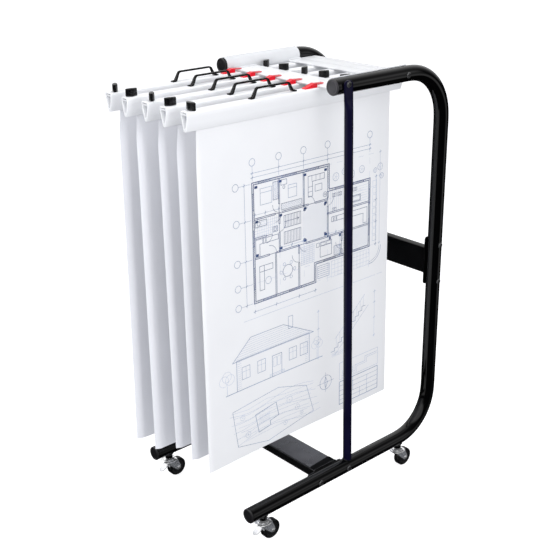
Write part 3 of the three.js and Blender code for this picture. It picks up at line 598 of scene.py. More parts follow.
# ------------------------------------------------------------------ casters
def caster(end, side, s, y):
    o = (s * HALF, y, 0)
    at = placed(o)
    name = f"{end}_{side}"
    body = f"{end}_{side}_caster"
    b = Shells()
    # stem, upper race, ball gap, lower race and crown
    b.lathe([(0, 60.0), (5, 60.0), (5, 78), (4.2, 79), (0, 79)], 24, at, 0)
    b.lathe([(0, 56.2), (12.0, 56.2), (14.6, 56.0), (15.4, 56.5), (15.6, 57.1), (14.9, 57.9), (13.0, 58.5), (9.6, 59.2), (8.4, 59.8), (7.4, 60.15), (0, 60.15)], 40, at, 0)
    b.lathe([(0, 54.9), (14.2, 54.9), (14.2, 56.3), (0, 56.3)], 32, at, 1)
    b.lathe([(0, 50.8), (18.6, 50.8), (20.2, 51.1), (21, 51.9), (21.1, 52.8), (20.5, 53.6), (18.6, 54.4), (16.8, 55.0), (15.4, 55.2), (0, 55.2)], 44, at, 0)
    # legs, pressed from one strip with turned edges
    leg = rounded([(-11, 52.8), (-11.5, 49), (-6, 42), (14.2, 23.0), (17.0, 19.4), (22, 18.2), (27, 20.2), (29.2, 25), (28.4, 29), (21.2, 46), (19, 52.8)],
                  [1, 3, 6, 4, 4, 5, 4, 4, 4, 5, 1], 4)
    for q in (-1, 1):
        lo, hi = sorted((q * 10.3, q * 12.4))
        b.prism(leg, "x", lo, hi, 2, at=at)
        rim = offset_path(filleted([(-11.0, 48.6), (-6, 42.4), (13.6, 23.9)], 5), 0.0, 1.5)
        lo2, hi2 = sorted((q * 10.3, q * 13.6))
        b.prism(rim, "x", lo2, hi2, 0, at=at)
        ax = placed((o[0] + q * 12.3, y + TRAIL, WHEEL_R), (q, 0, 0))
        b.lathe([(0, -0.2), (5.6, -0.2), (5.9, 0.2), (5.9, 0.7), (5.5, 1.0), (0, 1.0)], 24, ax, 0)
        if q > 0:
            b.lathe([(0, 0.9), (4.4, 0.9), (4.3, 1.8), (3.4, 2.6), (1.8, 3.0), (0, 3.1)], 24, ax, 0)
        else:
            b.prism(rounded([(4.6 * math.cos(math.pi / 3 * i), 4.6 * math.sin(math.pi / 3 * i)) for i in range(6)], 0.4, 2), "z", 0.9, 2.6, 0, at=ax)
    b.lathe([(0, -12), (3, -12), (3, 12), (0, 12)], 20, placed((o[0], y + TRAIL, WHEEL_R), (1, 0, 0)), 1)
    # crown and legs in platings whose diffuse grey is painted reflection
    piece(f"{name}_fork", b, [M_CHROME_PAINTED_REFLECTION, M_STEEL, M_LEG_PAINTED_REFLECTION], body, [f"{end}_{side}_caster_fork"], angle=42, bevel=0.4)
    # wheel: tyre with two fine grooves, hub discs with ribs
    b = Shells()
    ax = placed((o[0], y + TRAIL, WHEEL_R), (1, 0, 0))
    h, r = 9.0, 25.0
    prof = [(18.2, -h + 0.6), (20, -h), (22.4, -h), (23.9, -h + 0.7), (24.8, -h + 2.0), (25, -h + 3.6)]
    prof += [(25, -3.3), (24.4, -3.0), (24.4, -2.4), (25, -2.1)]
    prof += [(rr, -hh) for rr, hh in reversed(prof)]
    b.lathe(prof + [(18.2, h - 0.6)], 64, ax, 0, closed=True)
    hub = [(3.4, -h - 0.7), (8.2, -h - 0.7), (8.8, -h - 0.3), (9.2, -h + 1.6), (15.8, -h + 2.0), (16.6, -h + 0.9), (18.3, -h + 0.9)]
    hub += [(rr, -hh) for rr, hh in reversed(hub)]
    b.lathe(hub, 48, ax, 1, closed=True)
    for k in range(6):
        a = 2 * math.pi * k / 6
        for q in (-1, 1):
            bx = placed((o[0] + q * (h - 1.5), y + TRAIL, WHEEL_R), (q, 0, 0), (0, math.cos(a), math.sin(a)))
            b.prism([(8.8, -0.9), (16.4, -0.9), (16.4, 0.9), (8.8, 0.9)], "z", -1.2, 0.5, 1, at=bx)
    piece(f"{name}_wheel", b, [M_RUBBER, M_HUB], f"{body}_wheel", [f"{end}_{side}_caster_wheel"], angle=40)
    if end == "front":
        b = Shells()
        top = filleted([(-2.8, 48.9), (-8.0, 46.9), (-12.4, 42.1), (-18.4, 36.3), (-25.6, 32.05), (-30.8, 29.6)], 10, 5)
        def half(yy):
            q = max(0.0, min(1.0, (-yy - 19.5) / 11.5))
            return 9.0 * math.sqrt(max(0.02, 1 - q ** 2.2))
        rings = []
        for k, (py, pz) in enumerate(top):
            a = Vector(top[max(0, k - 1)]); c = Vector(top[min(len(top) - 1, k + 1)])
            d = (c - a).normalized()
            nn = Vector((-d.y, d.x))
            if nn.y < 0:
                nn = -nn
            w = half(py)
            sect = [(-w, -0.9), (-w * 0.985, -1.2), (w * 0.985, -1.2), (w, -0.9), (w, 0.7), (w * 0.96, 1.15), (w * 0.5, 1.35), (-w * 0.5, 1.35), (-w * 0.96, 1.15), (-w, 0.7)]
            rings.append([at(u, py + nn.x * v, pz + nn.y * v) for u, v in sect])
        b.rings(rings, 0)
        tab = filleted([(-4.2, 48.2), (-5.0, 44), (-4.5, 33.6)], 4, 4)
        b.prism(offset_path(tab, 1.1, 1.1), "x", -8.4, 8.4, 0, at=at)
        for x0 in (-9.0, 7.5):
            b.prism(rounded([(-3, 49.3), (-8.2, 47.6), (-12.6, 43.0), (-16.0, 39.4), (-13.6, 37.6), (-9.6, 41.0), (-6.4, 43.6), (-4.4, 44.4)], 1.2, 3), "x", x0, x0 + 1.5, 0, at=at)
        # the pedal's light diffuse grey is painted reflection on plated metal
        piece(f"{name}_pedal", b, M_PEDAL_PAINTED_REFLECTION, f"front_{side}_brake", [f"front_{side}_brake_pedal"], angle=40, bevel=0.35)


for side, s in SIDES:
    for end, y in zip(("front", "rear"), CASTER_Y):
        caster(end, side, s, y)

# ------------------------------------------------------------------- clamps
OUT = rounded([(-0.9, -42.5), (-0.9, -41.2), (-3.2, -36), (-8.8, -13), (-9.4, -7.2),
               (9.4, -7.2), (8.8, -13), (7.2, -20.6), (0.9, -23.5), (0.9, -42.5),
               (3.1, -42.5), (7.6, -28), (11.2, -12), (12, -6), (12, 0),
               (-12, 0), (-12, -6), (-11.2, -12), (-7.6, -28), (-3.1, -42.5)],
              [0.3, 0.5, 4, 8, 0.25, 0.25, 8, 2.4, 1.5, 0.3, 1.3, 22, 18, 6, 1.8, 1.8, 6, 18, 22, 1.3], 4)
END_OUT = rounded([(3.1, -42.5), (7.6, -28), (11.2, -12), (12, -6), (12, 0), (-12, 0), (-12, -6), (-11.2, -12), (-7.6, -28), (-3.1, -42.5)],
                  [2.4, 22, 18, 6, 1.8, 1.8, 6, 18, 22, 2.4], 4)
DROP = rounded([(-8.3, -8.0), (-7.9, -14), (-2.3, -34.6), (2.3, -34.6), (7.9, -14), (8.3, -8.0)], [2.4, 8, 1.8, 1.8, 8, 2.4], 5)
SLOT = rounded([(-7.8, -2.4), (7.8, -2.4), (7.8, -4.6), (-7.8, -4.6)], 0.5, 2)


def inset(poly, d):
    """The outline moved inwards by d (outwards for a negative d)."""
    k = len(poly)
    area2 = sum(poly[i - 1][0] * poly[i][1] - poly[i][0] * poly[i - 1][1] for i in range(k))
    sgn = 1 if area2 > 0 else -1
    res = []
    for i in range(k):
        a, p, c = Vector(poly[i - 1]), Vector(poly[i]), Vector(poly[(i + 1) % k])
        n = Vector((0, 0))
        for u in (p - a, c - p):
            if u.length > 1e-9:
                u = u.normalized()
                n += Vector((-u.y, u.x)) * sgn
        n = n.normalized() if n.length > 1e-9 else n
        res.append(tuple(p + n * d))
    return res


def end_ring(b, put, y_face, y_back, r=1.1):
    """A closed end of the clamp with rounded rims; y_face is its outer face."""
    w = 1 if y_back > y_face else -1
    steps = [(r, 0.0), (r * 0.5, r * 0.13), (r * 0.13, r * 0.5), (0.0, r)]
    loops_o = [(inset(END_OUT, d), y_face + w * h) for d, h in steps] + [(END_OUT, y_back)]
    loops_i = [(inset(DROP, -d * 0.8), y_face + w * h * 0.8) for d, h in steps] + [(DROP, y_back)]
    loops_s = [(SLOT, y_face), (SLOT, y_back)]
    verts, faces, first, last = [], [], [], []
    for loops in (loops_o, loops_i, loops_s):
        k = len(loops[0][0])
        base = len(verts)
        for lp, y in loops:
            verts += [put(u, y, v) for u, v in lp]
        for q in range(len(loops) - 1):
            for i in range(k):
                j = (i + 1) % k
                faces.append((base + q * k + i, base + q * k + j, base + (q + 1) * k + j, base + (q + 1) * k + i))
        first.append((base, loops[0][0]))
        last.append((base + (len(loops) - 1) * k, loops[-1][0]))
    for group in (first, last):
        idx = [o + i for o, lp in group for i in range(len(lp))]
        tris = tessellate_polygon([[Vector((u, v, 0)) for u, v in lp] for o, lp in group])
        faces += [tuple(idx[i] for i in tri) for tri in tris]
    b.add(verts, faces)


KNOB_PLAN = rounded([(-13, -2.2), (-4.6, -5.8), (4.6, -5.8), (13, -2.2), (13, 2.2), (4.6, 5.8), (-4.6, 5.8), (-13, 2.2)],
                    [1.2, 1.0, 1.0, 1.2, 1.2, 1.0, 1.0, 1.2], 4)


def knob(b, at, mi=0):
    b.lathe([(0, -15), (2.2, -15), (2.5, -14.6), (2.5, 0.3), (0, 0.3)], 16, at, 1)
    b.lathe([(0, 0.3), (5.6, 0.3), (5.6, 1.6), (0, 1.6)], 28, at, mi)
    rings = []
    for z, k in ((0.9, 0.95), (1.4, 0.99), (2.2, 1.0), (9, 1.0), (15.7, 0.997), (16.4, 0.985), (16.85, 0.965), (17.05, 0.93)):
        rings.append([at(x * k if k > 0.97 else math.copysign(abs(x) - 13.2 * (1 - k) * 0.5, x) if abs(x) > 13.2 * (1 - k) * 0.5 else x * 0.5,
                         y * (2 * k - 1 if k < 0.97 else k), z) for x, y in KNOB_PLAN])
    b.rings(rings, mi)


def handle(b, o):
    half = [(66, 1.6), (56.8, 1.6), (47.2, 20.0), (43.2, 21.8)]
    path = filleted([(-y, z) for y, z in half] + [(-15, 21.8), (15, 21.8)] + half[::-1], 5, 6)
    def wide(z):
        return 6.0 - 2.4 * max(0.0, min(1.0, (z - 3.2) / 16.0))
    rings = []
    for k in range(len(path)):
        a = Vector(path[max(0, k - 1)]); c = Vector(path[min(len(path) - 1, k + 1)])
        d = (c - a).normalized()
        nn = Vector((-d.y, d.x))
        w = wide(path[k][1])
        h = 1.3 + 0.5 * max(0.0, min(1.0, (path[k][1] - 1.6) / 17.0))
        sect = [(-w, -h + 0.6), (-w + 0.6, -h), (w - 0.6, -h), (w, -h + 0.6), (w, h - 0.6), (w - 0.6, h), (-w + 0.6, h), (-w, h - 0.6)]
        rings.append([(o[0] + u, o[1] + path[k][0] + nn.x * v, o[2] + path[k][1] + nn.y * v) for u, v in sect])
    b.rings(rings)
    for q in (-1, 1):
        at = placed((o[0], o[1] + q * 62.2, o[2] + 2.8))
        b.lathe([(0, -0.4), (2.9, -0.4), (2.9, 0.3), (2.3, 1.0), (1.1, 1.4), (0, 1.45)], 20, at, 0)


HOOK_BODY = [(-36, 0.3), (0.4, 0.3), (0.4, 9.6), (-7, 10.4), (-35, 1.7)]
HOOK_ARM = [(-9, 6.1), (20.6, 6.1), (23.0, 7.2), (21.8, 8.6), (-8, 10.2)]

for i in range(5):
    n = i + 1
    body = f"clamp_{n}"
    x0, y0 = CLAMP_X[i], CLAMP_Y[i]
    put = (lambda x0, y0: lambda x, y, z: (x0 + x, y0 + y, CLAMP_TOP + z))(x0, y0)
    b = Shells()
    b.prism(OUT, "y", 8, CLAMP_L - 8, 0, holes=[SLOT], at=put)
    end_ring(b, put, 0, 8)
    end_ring(b, put, CLAMP_L, CLAMP_L - 8)
    piece(f"clamp_{n}_extrusion", b, M_CLAMP, body, [f"clamp_{n}_profile"], angle=33, bevel=0.0, weld=False)
    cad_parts[f"clamp_{n}_jaw_bar"].data.materials.clear()
    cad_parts[f"clamp_{n}_jaw_bar"].data.materials.append(M_JAW)
    for k, where in enumerate(("front", "rear")):
        a = math.radians(KNOB_TURN[i][k])
        b = Shells()
        knob(b, placed((x0, y0 + KNOB_AT[k], CLAMP_TOP), (0, 0, 1), (math.cos(a), math.sin(a), 0)))
        piece(f"clamp_{n}_{where}_wing_knob", b, [M_KNOB, M_STEEL], f"clamp_{n}_{where}_knob", [f"clamp_{n}_{where}_knob"], angle=50)
    b = Shells()
    handle(b, (x0, y0 + HANDLE_AT, CLAMP_TOP))
    piece(f"clamp_{n}_strap_handle", b, [M_HANDLE, M_STEEL], body, [f"clamp_{n}_handle"], angle=50)
    b = Shells()
    hy = HOOK_Y[i]
    shift = (lambda hy: lambda x, y, z: (x, y + hy, z + CLAMP_TOP))(hy)
    b.prism(rounded(HOOK_BODY, [0.5, 0.8, 1.2, 2.0, 0.8], 3), "x", x0 - 6.4, x0 + 6.4, 0, at=shift)
    # the arm takes the paler red: painted highlight
    b.prism(rounded(HOOK_ARM, [0.5, 0.8, 0.6, 0.9, 0.5], 3), "x", x0 - 4.6, x0 + 4.6, 1, at=shift)
    piece(f"clamp_{n}_red_hook", b, [M_RED, M_ARM_PAINTED_HIGHLIGHT], body, [f"clamp_{n}_hook"], angle=40, bevel=0.7, seg=3)


# ------------------------------------------------------- sheets and their print
CURL = (8.5, 6.5, 8.0, 8.5, 3.0)
CURL_L = (19.0, 14.0, 18.0, 18.0, 12.0)


def smooth(a, b, t):
    t = max(0.0, min(1.0, (t - a) / (b - a)))
    return t * t * (3 - 2 * t)


def sheet_x(i, u, z):
    d = CLAMP_TOP - 42.5 - z
    g = smooth(0, 160, d)
    low = smooth(0, 1, d / 850)
    x = -CURL[i] * smooth(0, 70, d) * max(0.0, 1 - u / CURL_L[i]) ** 2
    x += -2.0 * g * math.exp(-(SHEET_W - u) / 40.0)
    x += 1.6 * g * math.sin(u / SHEET_W * math.pi * 1.3 + i * 0.9) + 1.2 * g * math.sin(d / 240.0 + i * 1.7) * math.cos(u / 210.0 + i)
    x += 2.4 * low * low * math.sin(u / 150.0 + 0.8 * i)
    return x


def on_sheet(i, u, v, lift):
    """A point of the sheet: u from its front edge, v down from its top edge, lifted off its middle surface."""
    top = SHEET_Z[i] + SHEET_L[i]
    z = top - v
    e = 1.0
    x = sheet_x(i, u, z)
    du = (sheet_x(i, u + e, z) - sheet_x(i, u - e, z)) / (2 * e)
    dz = (sheet_x(i, u, z + e) - sheet_x(i, u, z - e)) / (2 * e)
    k = lift / math.sqrt(1 + du * du + dz * dz)
    a, c = u - SHEET_W / 2 - du * k, -v - dz * k
    q = math.radians(SHEET_SWING[i])
    if i == 4:
        # the front sheet hangs a little open towards its rear bottom corner
        f, g = u / SHEET_W, v / SHEET_L[i]
        a += f * (15.0 * g - 5.5)
        c += 4.5 * f * g * g
    return (CLAMP_X[i] + x + k, CLAMP_Y[i] + SHEET_AT[i] + SHEET_W / 2 + a * math.cos(q) + c * math.sin(q), top - a * math.sin(q) + c * math.cos(q))


def sheet_mesh(i):
    us = [SHEET_W * q for q in (0, .004, .008, .012, .016, .020, .024, .028, .032, .040, .052, .066, .083, .104)] + [SHEET_W * (0.104 + 0.896 * k / 26) for k in range(1, 27)]
    vs = [0, 14, 22, 30] + [30 + (SHEET_L[i] - 30) * k / 48 for k in range(1, 49)]
    nu, nv = len(us), len(vs)
    verts = [on_sheet(i, u, v, 0.14) for v in vs for u in us] + [on_sheet(i, u, v, -0.14) for v in vs for u in us]
    o = nu * nv
    faces = []
    for r in range(nv - 1):
        for c in range(nu - 1):
            a = r * nu + c
            faces.append((a, a + 1, a + nu + 1, a + nu))
            faces.append((o + a, o + a + nu, o + a + nu + 1, o + a + 1))
    rim = [c for c in range(nu)] + [r * nu + nu - 1 for r in range(1, nv)] + [(nv - 1) * nu + c for c in range(nu - 2, -1, -1)] + [r * nu for r in range(nv - 2, 0, -1)]
    for k in range(len(rim)):
        a, c = rim[k], rim[(k + 1) % len(rim)]
        faces.append((a, o + a, o + c, c))
    b = Shells()
    b.add(verts, faces)
    return b


class Drawing:
    """Line work in sheet millimetres, with no lettering."""
    def __init__(self):
        self.lines = []

    def line(self, pts, w=0.5, ink=0):
        self.lines.append((pts, w, ink))

    def rect(self, u0, v0, u1, v1, w=0.5, ink=0):
        self.line([(u0, v0), (u1, v0), (u1, v1), (u0, v1), (u0, v0)], w, ink)

    def arc(self, u, v, r, a0, a1, w=0.4, ink=0, n=8):
        self.line([(u + r * math.cos(math.radians(a0 + (a1 - a0) * k / n)), v + r * math.sin(math.radians(a0 + (a1 - a0) * k / n))) for k in range(n + 1)], w, ink)

    def ring(self, u, v, r, w=0.4, ink=0, n=16):
        self.arc(u, v, r, 0, 360, w, ink, n)

    def wall(self, u0, v0, u1, v1, t=4.0, w=0.7, ink=0):
        if abs(u1 - u0) > abs(v1 - v0):
            self.rect(u0, v0 - t / 2, u1, v0 + t / 2, w, ink)
        else:
            self.rect(u0 - t / 2, v0, u0 + t / 2, v1, w, ink)

    def window(self, u0, v0, u1, v1, ink=0):
        if abs(u1 - u0) > abs(v1 - v0):
            for k in (-2.5, 0, 2.5):
                self.line([(u0, v0 + k), (u1, v0 + k)], 0.45, ink)
            self.line([(u0, v0 - 2.5), (u0, v0 + 2.5)], 0.6, ink)
            self.line([(u1, v0 - 2.5), (u1, v0 + 2.5)], 0.6, ink)
        else:
            for k in (-2.5, 0, 2.5):
                self.line([(u0 + k, v0), (u0 + k, v1)], 0.45, ink)
            self.line([(u0 - 2.5, v0), (u0 + 2.5, v0)], 0.6, ink)
            self.line([(u0 - 2.5, v1), (u0 + 2.5, v1)], 0.6, ink)

    def door(self, u, v, r, a0, ink=0, way=1):
        a = math.radians(a0)
        self.line([(u, v), (u + r * math.cos(a), v + r * math.sin(a))], 0.6, ink)
        self.arc(u, v, r, a0, a0 + 90 * way, 0.4, ink, 6)

    def chain(self, marks, at, across, ink=1, w=0.4):
        """A dimension line with slanted ticks; across is True for one along u."""
        put = (lambda k: (k, at)) if across else (lambda k: (at, k))
        self.line([put(marks[0] - 5), put(marks[-1] + 5)], w, ink)
        for k in marks:
            p = put(k)
            self.line([(p[0] - 2.2, p[1] + 2.2), (p[0] + 2.2, p[1] - 2.2)], 0.6, ink)
            q = (p[0], p[1] - 5) if across else (p[0] - 5, p[1])
            r = (p[0], p[1] + 5) if across else (p[0] + 5, p[1])
            self.line([q, r], 0.35, ink)

    def stairs(self, u0, v0, u1, v1, n, across=True, ink=0):
        self.rect(u0, v0, u1, v1, 0.5, ink)
        for k in range(1, n):
            if across:
                u = u0 + (u1 - u0) * k / n
                self.line([(u, v0), (u, v1)], 0.4, ink)
            else:
                v = v0 + (v1 - v0) * k / n
                self.line([(u0, v), (u1, v)], 0.4, ink)

    def hatch(self, u0, v0, u1, v1, step, ink=2, w=0.35):
        k = step
        while k < (u1 - u0) + (v1 - v0):
            a = (u0 + min(k, u1 - u0), v0 + max(0, k - (u1 - u0)))
            c = (u0 + max(0, k - (v1 - v0)), v0 + min(k, v1 - v0))
            self.line([a, c], w, ink)
            k += step


def plan(dr, ou=0.0, ov=0.0, flip=False, full=True):
    """A plain two-wing house plan with its axes, an elevation, a stair section and a plot outline."""
    d = Drawing()
    # outer walls of the two wings
    foot = [(92, 150), (330, 150), (330, 212), (470, 212), (470, 392), (286, 392), (286, 440), (92, 440)]
    inset = [(97, 155), (325, 155), (325, 217), (465, 217), (465, 387), (281, 387), (281, 435), (97, 435)]
    d.line(foot + foot[:1], 0.9, 0)
    d.line(inset + inset[:1], 0.8, 0)
    for u0, u1, v in ((112, 146, 152.5), (182, 226, 152.5), (256, 296, 152.5), (350, 384, 214.5), (410, 446, 214.5),
                      (120, 160, 437.5), (200, 240, 437.5), (312, 350, 389.5), (388, 436, 389.5)):
        d.window(u0, v, u1, v)
    for u, v0, v1 in ((94.5, 176, 214), (94.5, 262, 300), (94.5, 352, 404), (467.5, 240, 276), (467.5, 318, 360)):
        d.window(u, v0, u, v1)
    # inner walls
    for w in ((97, 236, 160, 236), (182, 236, 262, 236), (284, 236, 325, 236), (97, 330, 140, 330), (164, 330, 232, 330), (254, 330, 465, 330),
              (325, 272, 465, 272), (97, 282, 132, 282)):
        d.wall(*w, t=3.4)
    for w in ((172, 155, 172, 214), (248, 155, 248, 236), (172, 236, 172, 262), (172, 284, 172, 330), (232, 330, 232, 350), (232, 374, 232, 435),
              (325, 217, 325, 232), (325, 254, 325, 330), (396, 217, 396, 272), (372, 330, 372, 352), (372, 374, 372, 387), (160, 330, 160, 435)):
        d.wall(*w, t=3.4)
    for q in ((160, 236, 20, 0, 1), (262, 236, 20, 0, -1), (172, 214, 20, 90, 1), (172, 262, 20, 90, -1), (140, 330, 22, 0, -1), (254, 330, 20, 180, -1),
              (232, 350, 22, 90, 1), (325, 232, 20, 90, -1), (372, 352, 20, 90, 1), (132, 282, 18, 0, 1)):
        d.door(q[0], q[1], q[2], q[3], 0, q[4])
    d.stairs(186, 246, 238, 276, 11)
    d.line([(188, 261), (232, 261)], 0.5, 0)
    d.line([(227, 258), (232, 261), (227, 264)], 0.5, 0)
    d.stairs(186, 286, 238, 316, 11)
    d.stairs(292, 400, 330, 432, 6, False, 1)
    # fittings
    for u, v in ((340, 226), (358, 226), (340, 262), (410, 226)):
        d.rect(u, v, u + 13, v + 8, 0.45, 0)
        d.ring(u + 6.5, v + 4, 2.6, 0.4, 0, 10)
    d.rect(404, 246, 436, 262, 0.5, 0)
    d.rect(406, 248, 434, 260, 0.4, 0)
    d.rect(338, 284, 386, 296, 0.5, 0)
    for k in range(4):
        d.ring(345 + 9 * (k % 2), 287.5 + 5 * (k // 2), 2.0, 0.4, 0, 8)
    d.line([(398, 284), (460, 284), (460, 324), (446, 324), (446, 298), (398, 298), (398, 284)], 0.5, 0)
    d.rect(116, 168, 150, 206, 0.45, 1)
    d.line([(116, 178), (150, 178)], 0.4, 1)
    d.rect(200, 176, 226, 206, 0.45, 1)
    d.line([(200, 184), (226, 184)], 0.4, 1)
    d.ring(196, 384, 15, 0.5, 0, 18)
    for k in range(6):
        a = k * math.pi / 3
        d.ring(196 + 21 * math.cos(a), 384 + 21 * math.sin(a), 4, 0.4, 1, 8)
    d.rect(110, 352, 124, 412, 0.5, 0)
    d.rect(110, 352, 150, 366, 0.5, 0)
    d.ring(136, 392, 9, 0.45, 1, 14)
    for u in (104, 176, 252, 318):
        for v in (162, 243, 323):
            d.line([(u - 1.6, v), (u + 1.6, v)], 3.0, 0)
    d.hatch(376, 334, 462, 384, 7, 2, 0.35)
    for k in range(9):
        d.line([(240 + k * 5, 336), (240 + k * 5, 384)], 0.3, 2)
    for k in range(10):
        d.line([(237, 338 + k * 5), (281, 338 + k * 5)], 0.3, 2)
    # terrace paving
    for k in range(13):
        d.line([(338 + 11 * k, 398), (338 + 11 * k, 440)], 0.3, 2)
    for k in range(5):
        d.line([(338, 398 + 10.5 * k), (470, 398 + 10.5 * k)], 0.3, 2)
    d.arc(470, 398, 42, 0, 90, 0.5, 1, 12)
    d.arc(470, 398, 36, 0, 90, 0.4, 1, 12)
    # axes with empty bubbles, and dimension chains
    cols, rows = (94, 172, 248, 325, 396, 468), (152, 236, 330, 390, 438)
    for u in cols:
        d.line([(u, 112), (u, 146)], 0.35, 1)
        for k in range(9):
            d.line([(u, 160 + 34 * k), (u, 176 + 34 * k)], 0.25, 2)
        d.ring(u, 103, 8.5, 0.5, 1, 18)
    for v in rows:
        d.line([(54, v), (88, v)], 0.35, 1)
        for k in range(11):
            d.line([(104 + 36 * k, v), (122 + 36 * k, v)], 0.25, 2)
        d.ring(45, v, 8.5, 0.5, 1, 18)
    d.chain(cols, 128, True, 1)
    d.chain((94, 325, 468), 138, True, 1)
    d.chain(rows, 70, False, 1)
    d.chain((94, 160, 232, 284), 460, True, 1)
    d.chain((212, 272, 330, 390), 492, False, 1)
    d.chain((152, 212, 390), 506, False, 2)
    d.line([(60, 476), (520, 476)], 0.4, 2)
    # poche in the outer walls and more fittings
    for u0, v0, u1, v1 in ((92, 150, 330, 155), (325, 155, 330, 212), (330, 212, 470, 217), (465, 217, 470, 392), (286, 387, 465, 392), (281, 392, 286, 440),
                           (92, 435, 281, 440), (92, 155, 97, 435)):
        d.hatch(u0, v0, u1, v1, 4.6, 0, 0.3)
    d.rect(154, 160, 169, 202, 0.45, 0)
    d.hatch(154, 160, 169, 202, 5, 1, 0.3)
    d.rect(178, 160, 196, 172, 0.45, 0)
    d.ring(187, 178, 3.4, 0.4, 0, 10)
    d.rect(178, 216, 242, 231, 0.45, 0)
    d.hatch(178, 216, 242, 231, 6, 1, 0.3)
    d.line([(262, 168), (314, 168), (314, 182), (276, 182), (276, 218), (262, 218), (262, 168)], 0.5, 0)
    for u in (280, 293, 306):
        d.line([(u - 6, 168), (u - 6, 182)], 0.35, 0)
    d.line([(262, 194), (276, 194)], 0.35, 0)
    d.line([(262, 206), (276, 206)], 0.35, 0)
    d.rect(284, 192, 306, 208, 0.45, 0)
    d.ring(316, 222, 6, 0.45, 0, 14)
    d.ring(316, 222, 2, 0.4, 0, 8)
    for k in range(1, 11):
        d.line([(100 + 6.4 * k, 239), (100 + 6.4 * k, 280)], 0.25, 2)
    for k in range(1, 7):
        d.line([(98, 239 + 6.4 * k), (169, 239 + 6.4 * k)], 0.25, 2)
    d.rect(100, 242, 134, 256, 0.5, 0)
    d.ring(110, 249, 5, 0.4, 0, 12)
    d.rect(152, 266, 166, 278, 0.5, 0)
    d.ring(159, 272, 4, 0.4, 0, 12)
    d.line([(100, 286), (168, 286), (168, 298), (112, 298), (112, 326), (100, 326), (100, 286)], 0.5, 0)
    for k in range(4):
        d.ring(122 + 8 * (k % 2), 289.5 + 5 * (k // 2), 1.9, 0.4, 0, 8)
    d.hatch(244, 240, 322, 326, 9, 2, 0.3)
    for u, v in ((250, 246), (316, 246), (250, 320), (316, 320), (332, 336), (366, 336)):
        d.rect(u - 2, v - 2, u + 2, v + 2, 1.2, 0)
    for k in range(1, 10):
        d.line([(327 + 6.6 * k, 219), (327 + 6.6 * k, 270)], 0.25, 2)
    for k in range(1, 8):
        d.line([(398, 219 + 6.4 * k), (463, 219 + 6.4 * k)], 0.25, 2)
    d.rect(300, 340, 338, 378, 0.5, 0)
    d.line([(300, 350), (338, 350)], 0.4, 0)
    d.rect(303, 342, 317, 349, 0.35, 0)
    d.rect(321, 342, 335, 349, 0.35, 0)
    d.rect(288, 340, 297, 350, 0.4, 0)
    d.rect(346, 360, 368, 384, 0.45, 0)
    d.hatch(346, 360, 368, 384, 5, 1, 0.3)
    d.chain((99, 130, 170), 226, True, 1, 0.3)
    d.chain((176, 210, 246), 322, True, 1, 0.3)
    d.chain((328, 352, 394), 324, True, 1, 0.3)
    d.chain((336, 362, 384), 366, False, 1, 0.3)
    # garden side: a path of slabs and round shrubs
    for k in range(9):
        d.rect(480, 222 + 18 * k, 494, 236 + 18 * k, 0.4, 2)
    for u, v, r in ((506, 190, 9), (512, 214, 7), (488, 196, 6), (352, 186, 10), (380, 178, 8), (404, 190, 11), (440, 184, 9)):
        d.ring(u, v, r, 0.4, 1, 16)
        for k in range(5):
            a = k * math.pi * 0.4
            d.line([(u, v), (u + r * 0.8 * math.cos(a), v + r * 0.8 * math.sin(a))], 0.3, 2)
    if full:
        d.lines = [([(u + 52, v - 8) for u, v in pts], w, ink) for pts, w, ink in d.lines]
        # front elevation, fainter
        g = 640
        d.line([(52, g), (360, g)], 0.8, 1)
        d.rect(86, 560, 316, g, 0.6, 1)
        d.line([(74, 562), (130, 512), (232, 512), (330, 562), (74, 562)], 0.6, 1)
        for k in range(9):
            t = k / 9
            d.line([(130 - 56 * t, 512 + 50 * t), (232 + 98 * t, 512 + 50 * t)], 0.3, 2)
        d.rect(248, 496, 262, 528, 0.5, 1)
        for u in (102, 150, 250, 286):
            d.rect(u, 582, u + 24, 614, 0.5, 1)
            d.line([(u + 12, 582), (u + 12, 614)], 0.4, 2)
            d.line([(u, 594), (u + 24, 594)], 0.4, 2)
        d.rect(196, 584, 226, g, 0.6, 1)
        d.rect(200, 590, 210, 614, 0.4, 2)
        d.rect(212, 590, 222, 614, 0.4, 2)
        d.stairs(188, 632, 234, 640, 2, False, 2)
        for k in range(14):
            d.line([(88, 564 + 5.4 * k), (100, 564 + 5.4 * k)], 0.3, 2)
            d.line([(302, 564 + 5.4 * k), (314, 564 + 5.4 * k)], 0.3, 2)
        d.chain((512, 560, 600, 640), 346, False, 2)
        for u, r in ((56, 22), (342, 18)):
            d.line([(u, g), (u, g - 26)], 0.5, 2)
            for k in range(3):
                d.ring(u + (k - 1) * r * 0.4, g - 40 - (k % 2) * 9, r * 0.62, 0.35, 2, 14)
        # stair section
        p = [(402, 640)]
        for k in range(9):
            p += [(402 + 12 * k, 632 - 11 * k), (414 + 12 * k, 632 - 11 * k)]
        d.line(p, 0.6, 1)
        d.line([(402, 652), (522, 546)], 0.5, 2)
        d.line([(390, 640), (402, 640)], 0.6, 1)
        d.line([(404, 606), (508, 512)], 0.5, 2)
        for k in range(9):
            d.line([(408 + 12 * k, 632 - 11 * k), (408 + 12 * k, 602 - 10.6 * k)], 0.3, 2)
        d.hatch(392, 644, 452, 656, 5, 2, 0.3)
        d.chain((514, 544, 588, 640), 544, False, 2)
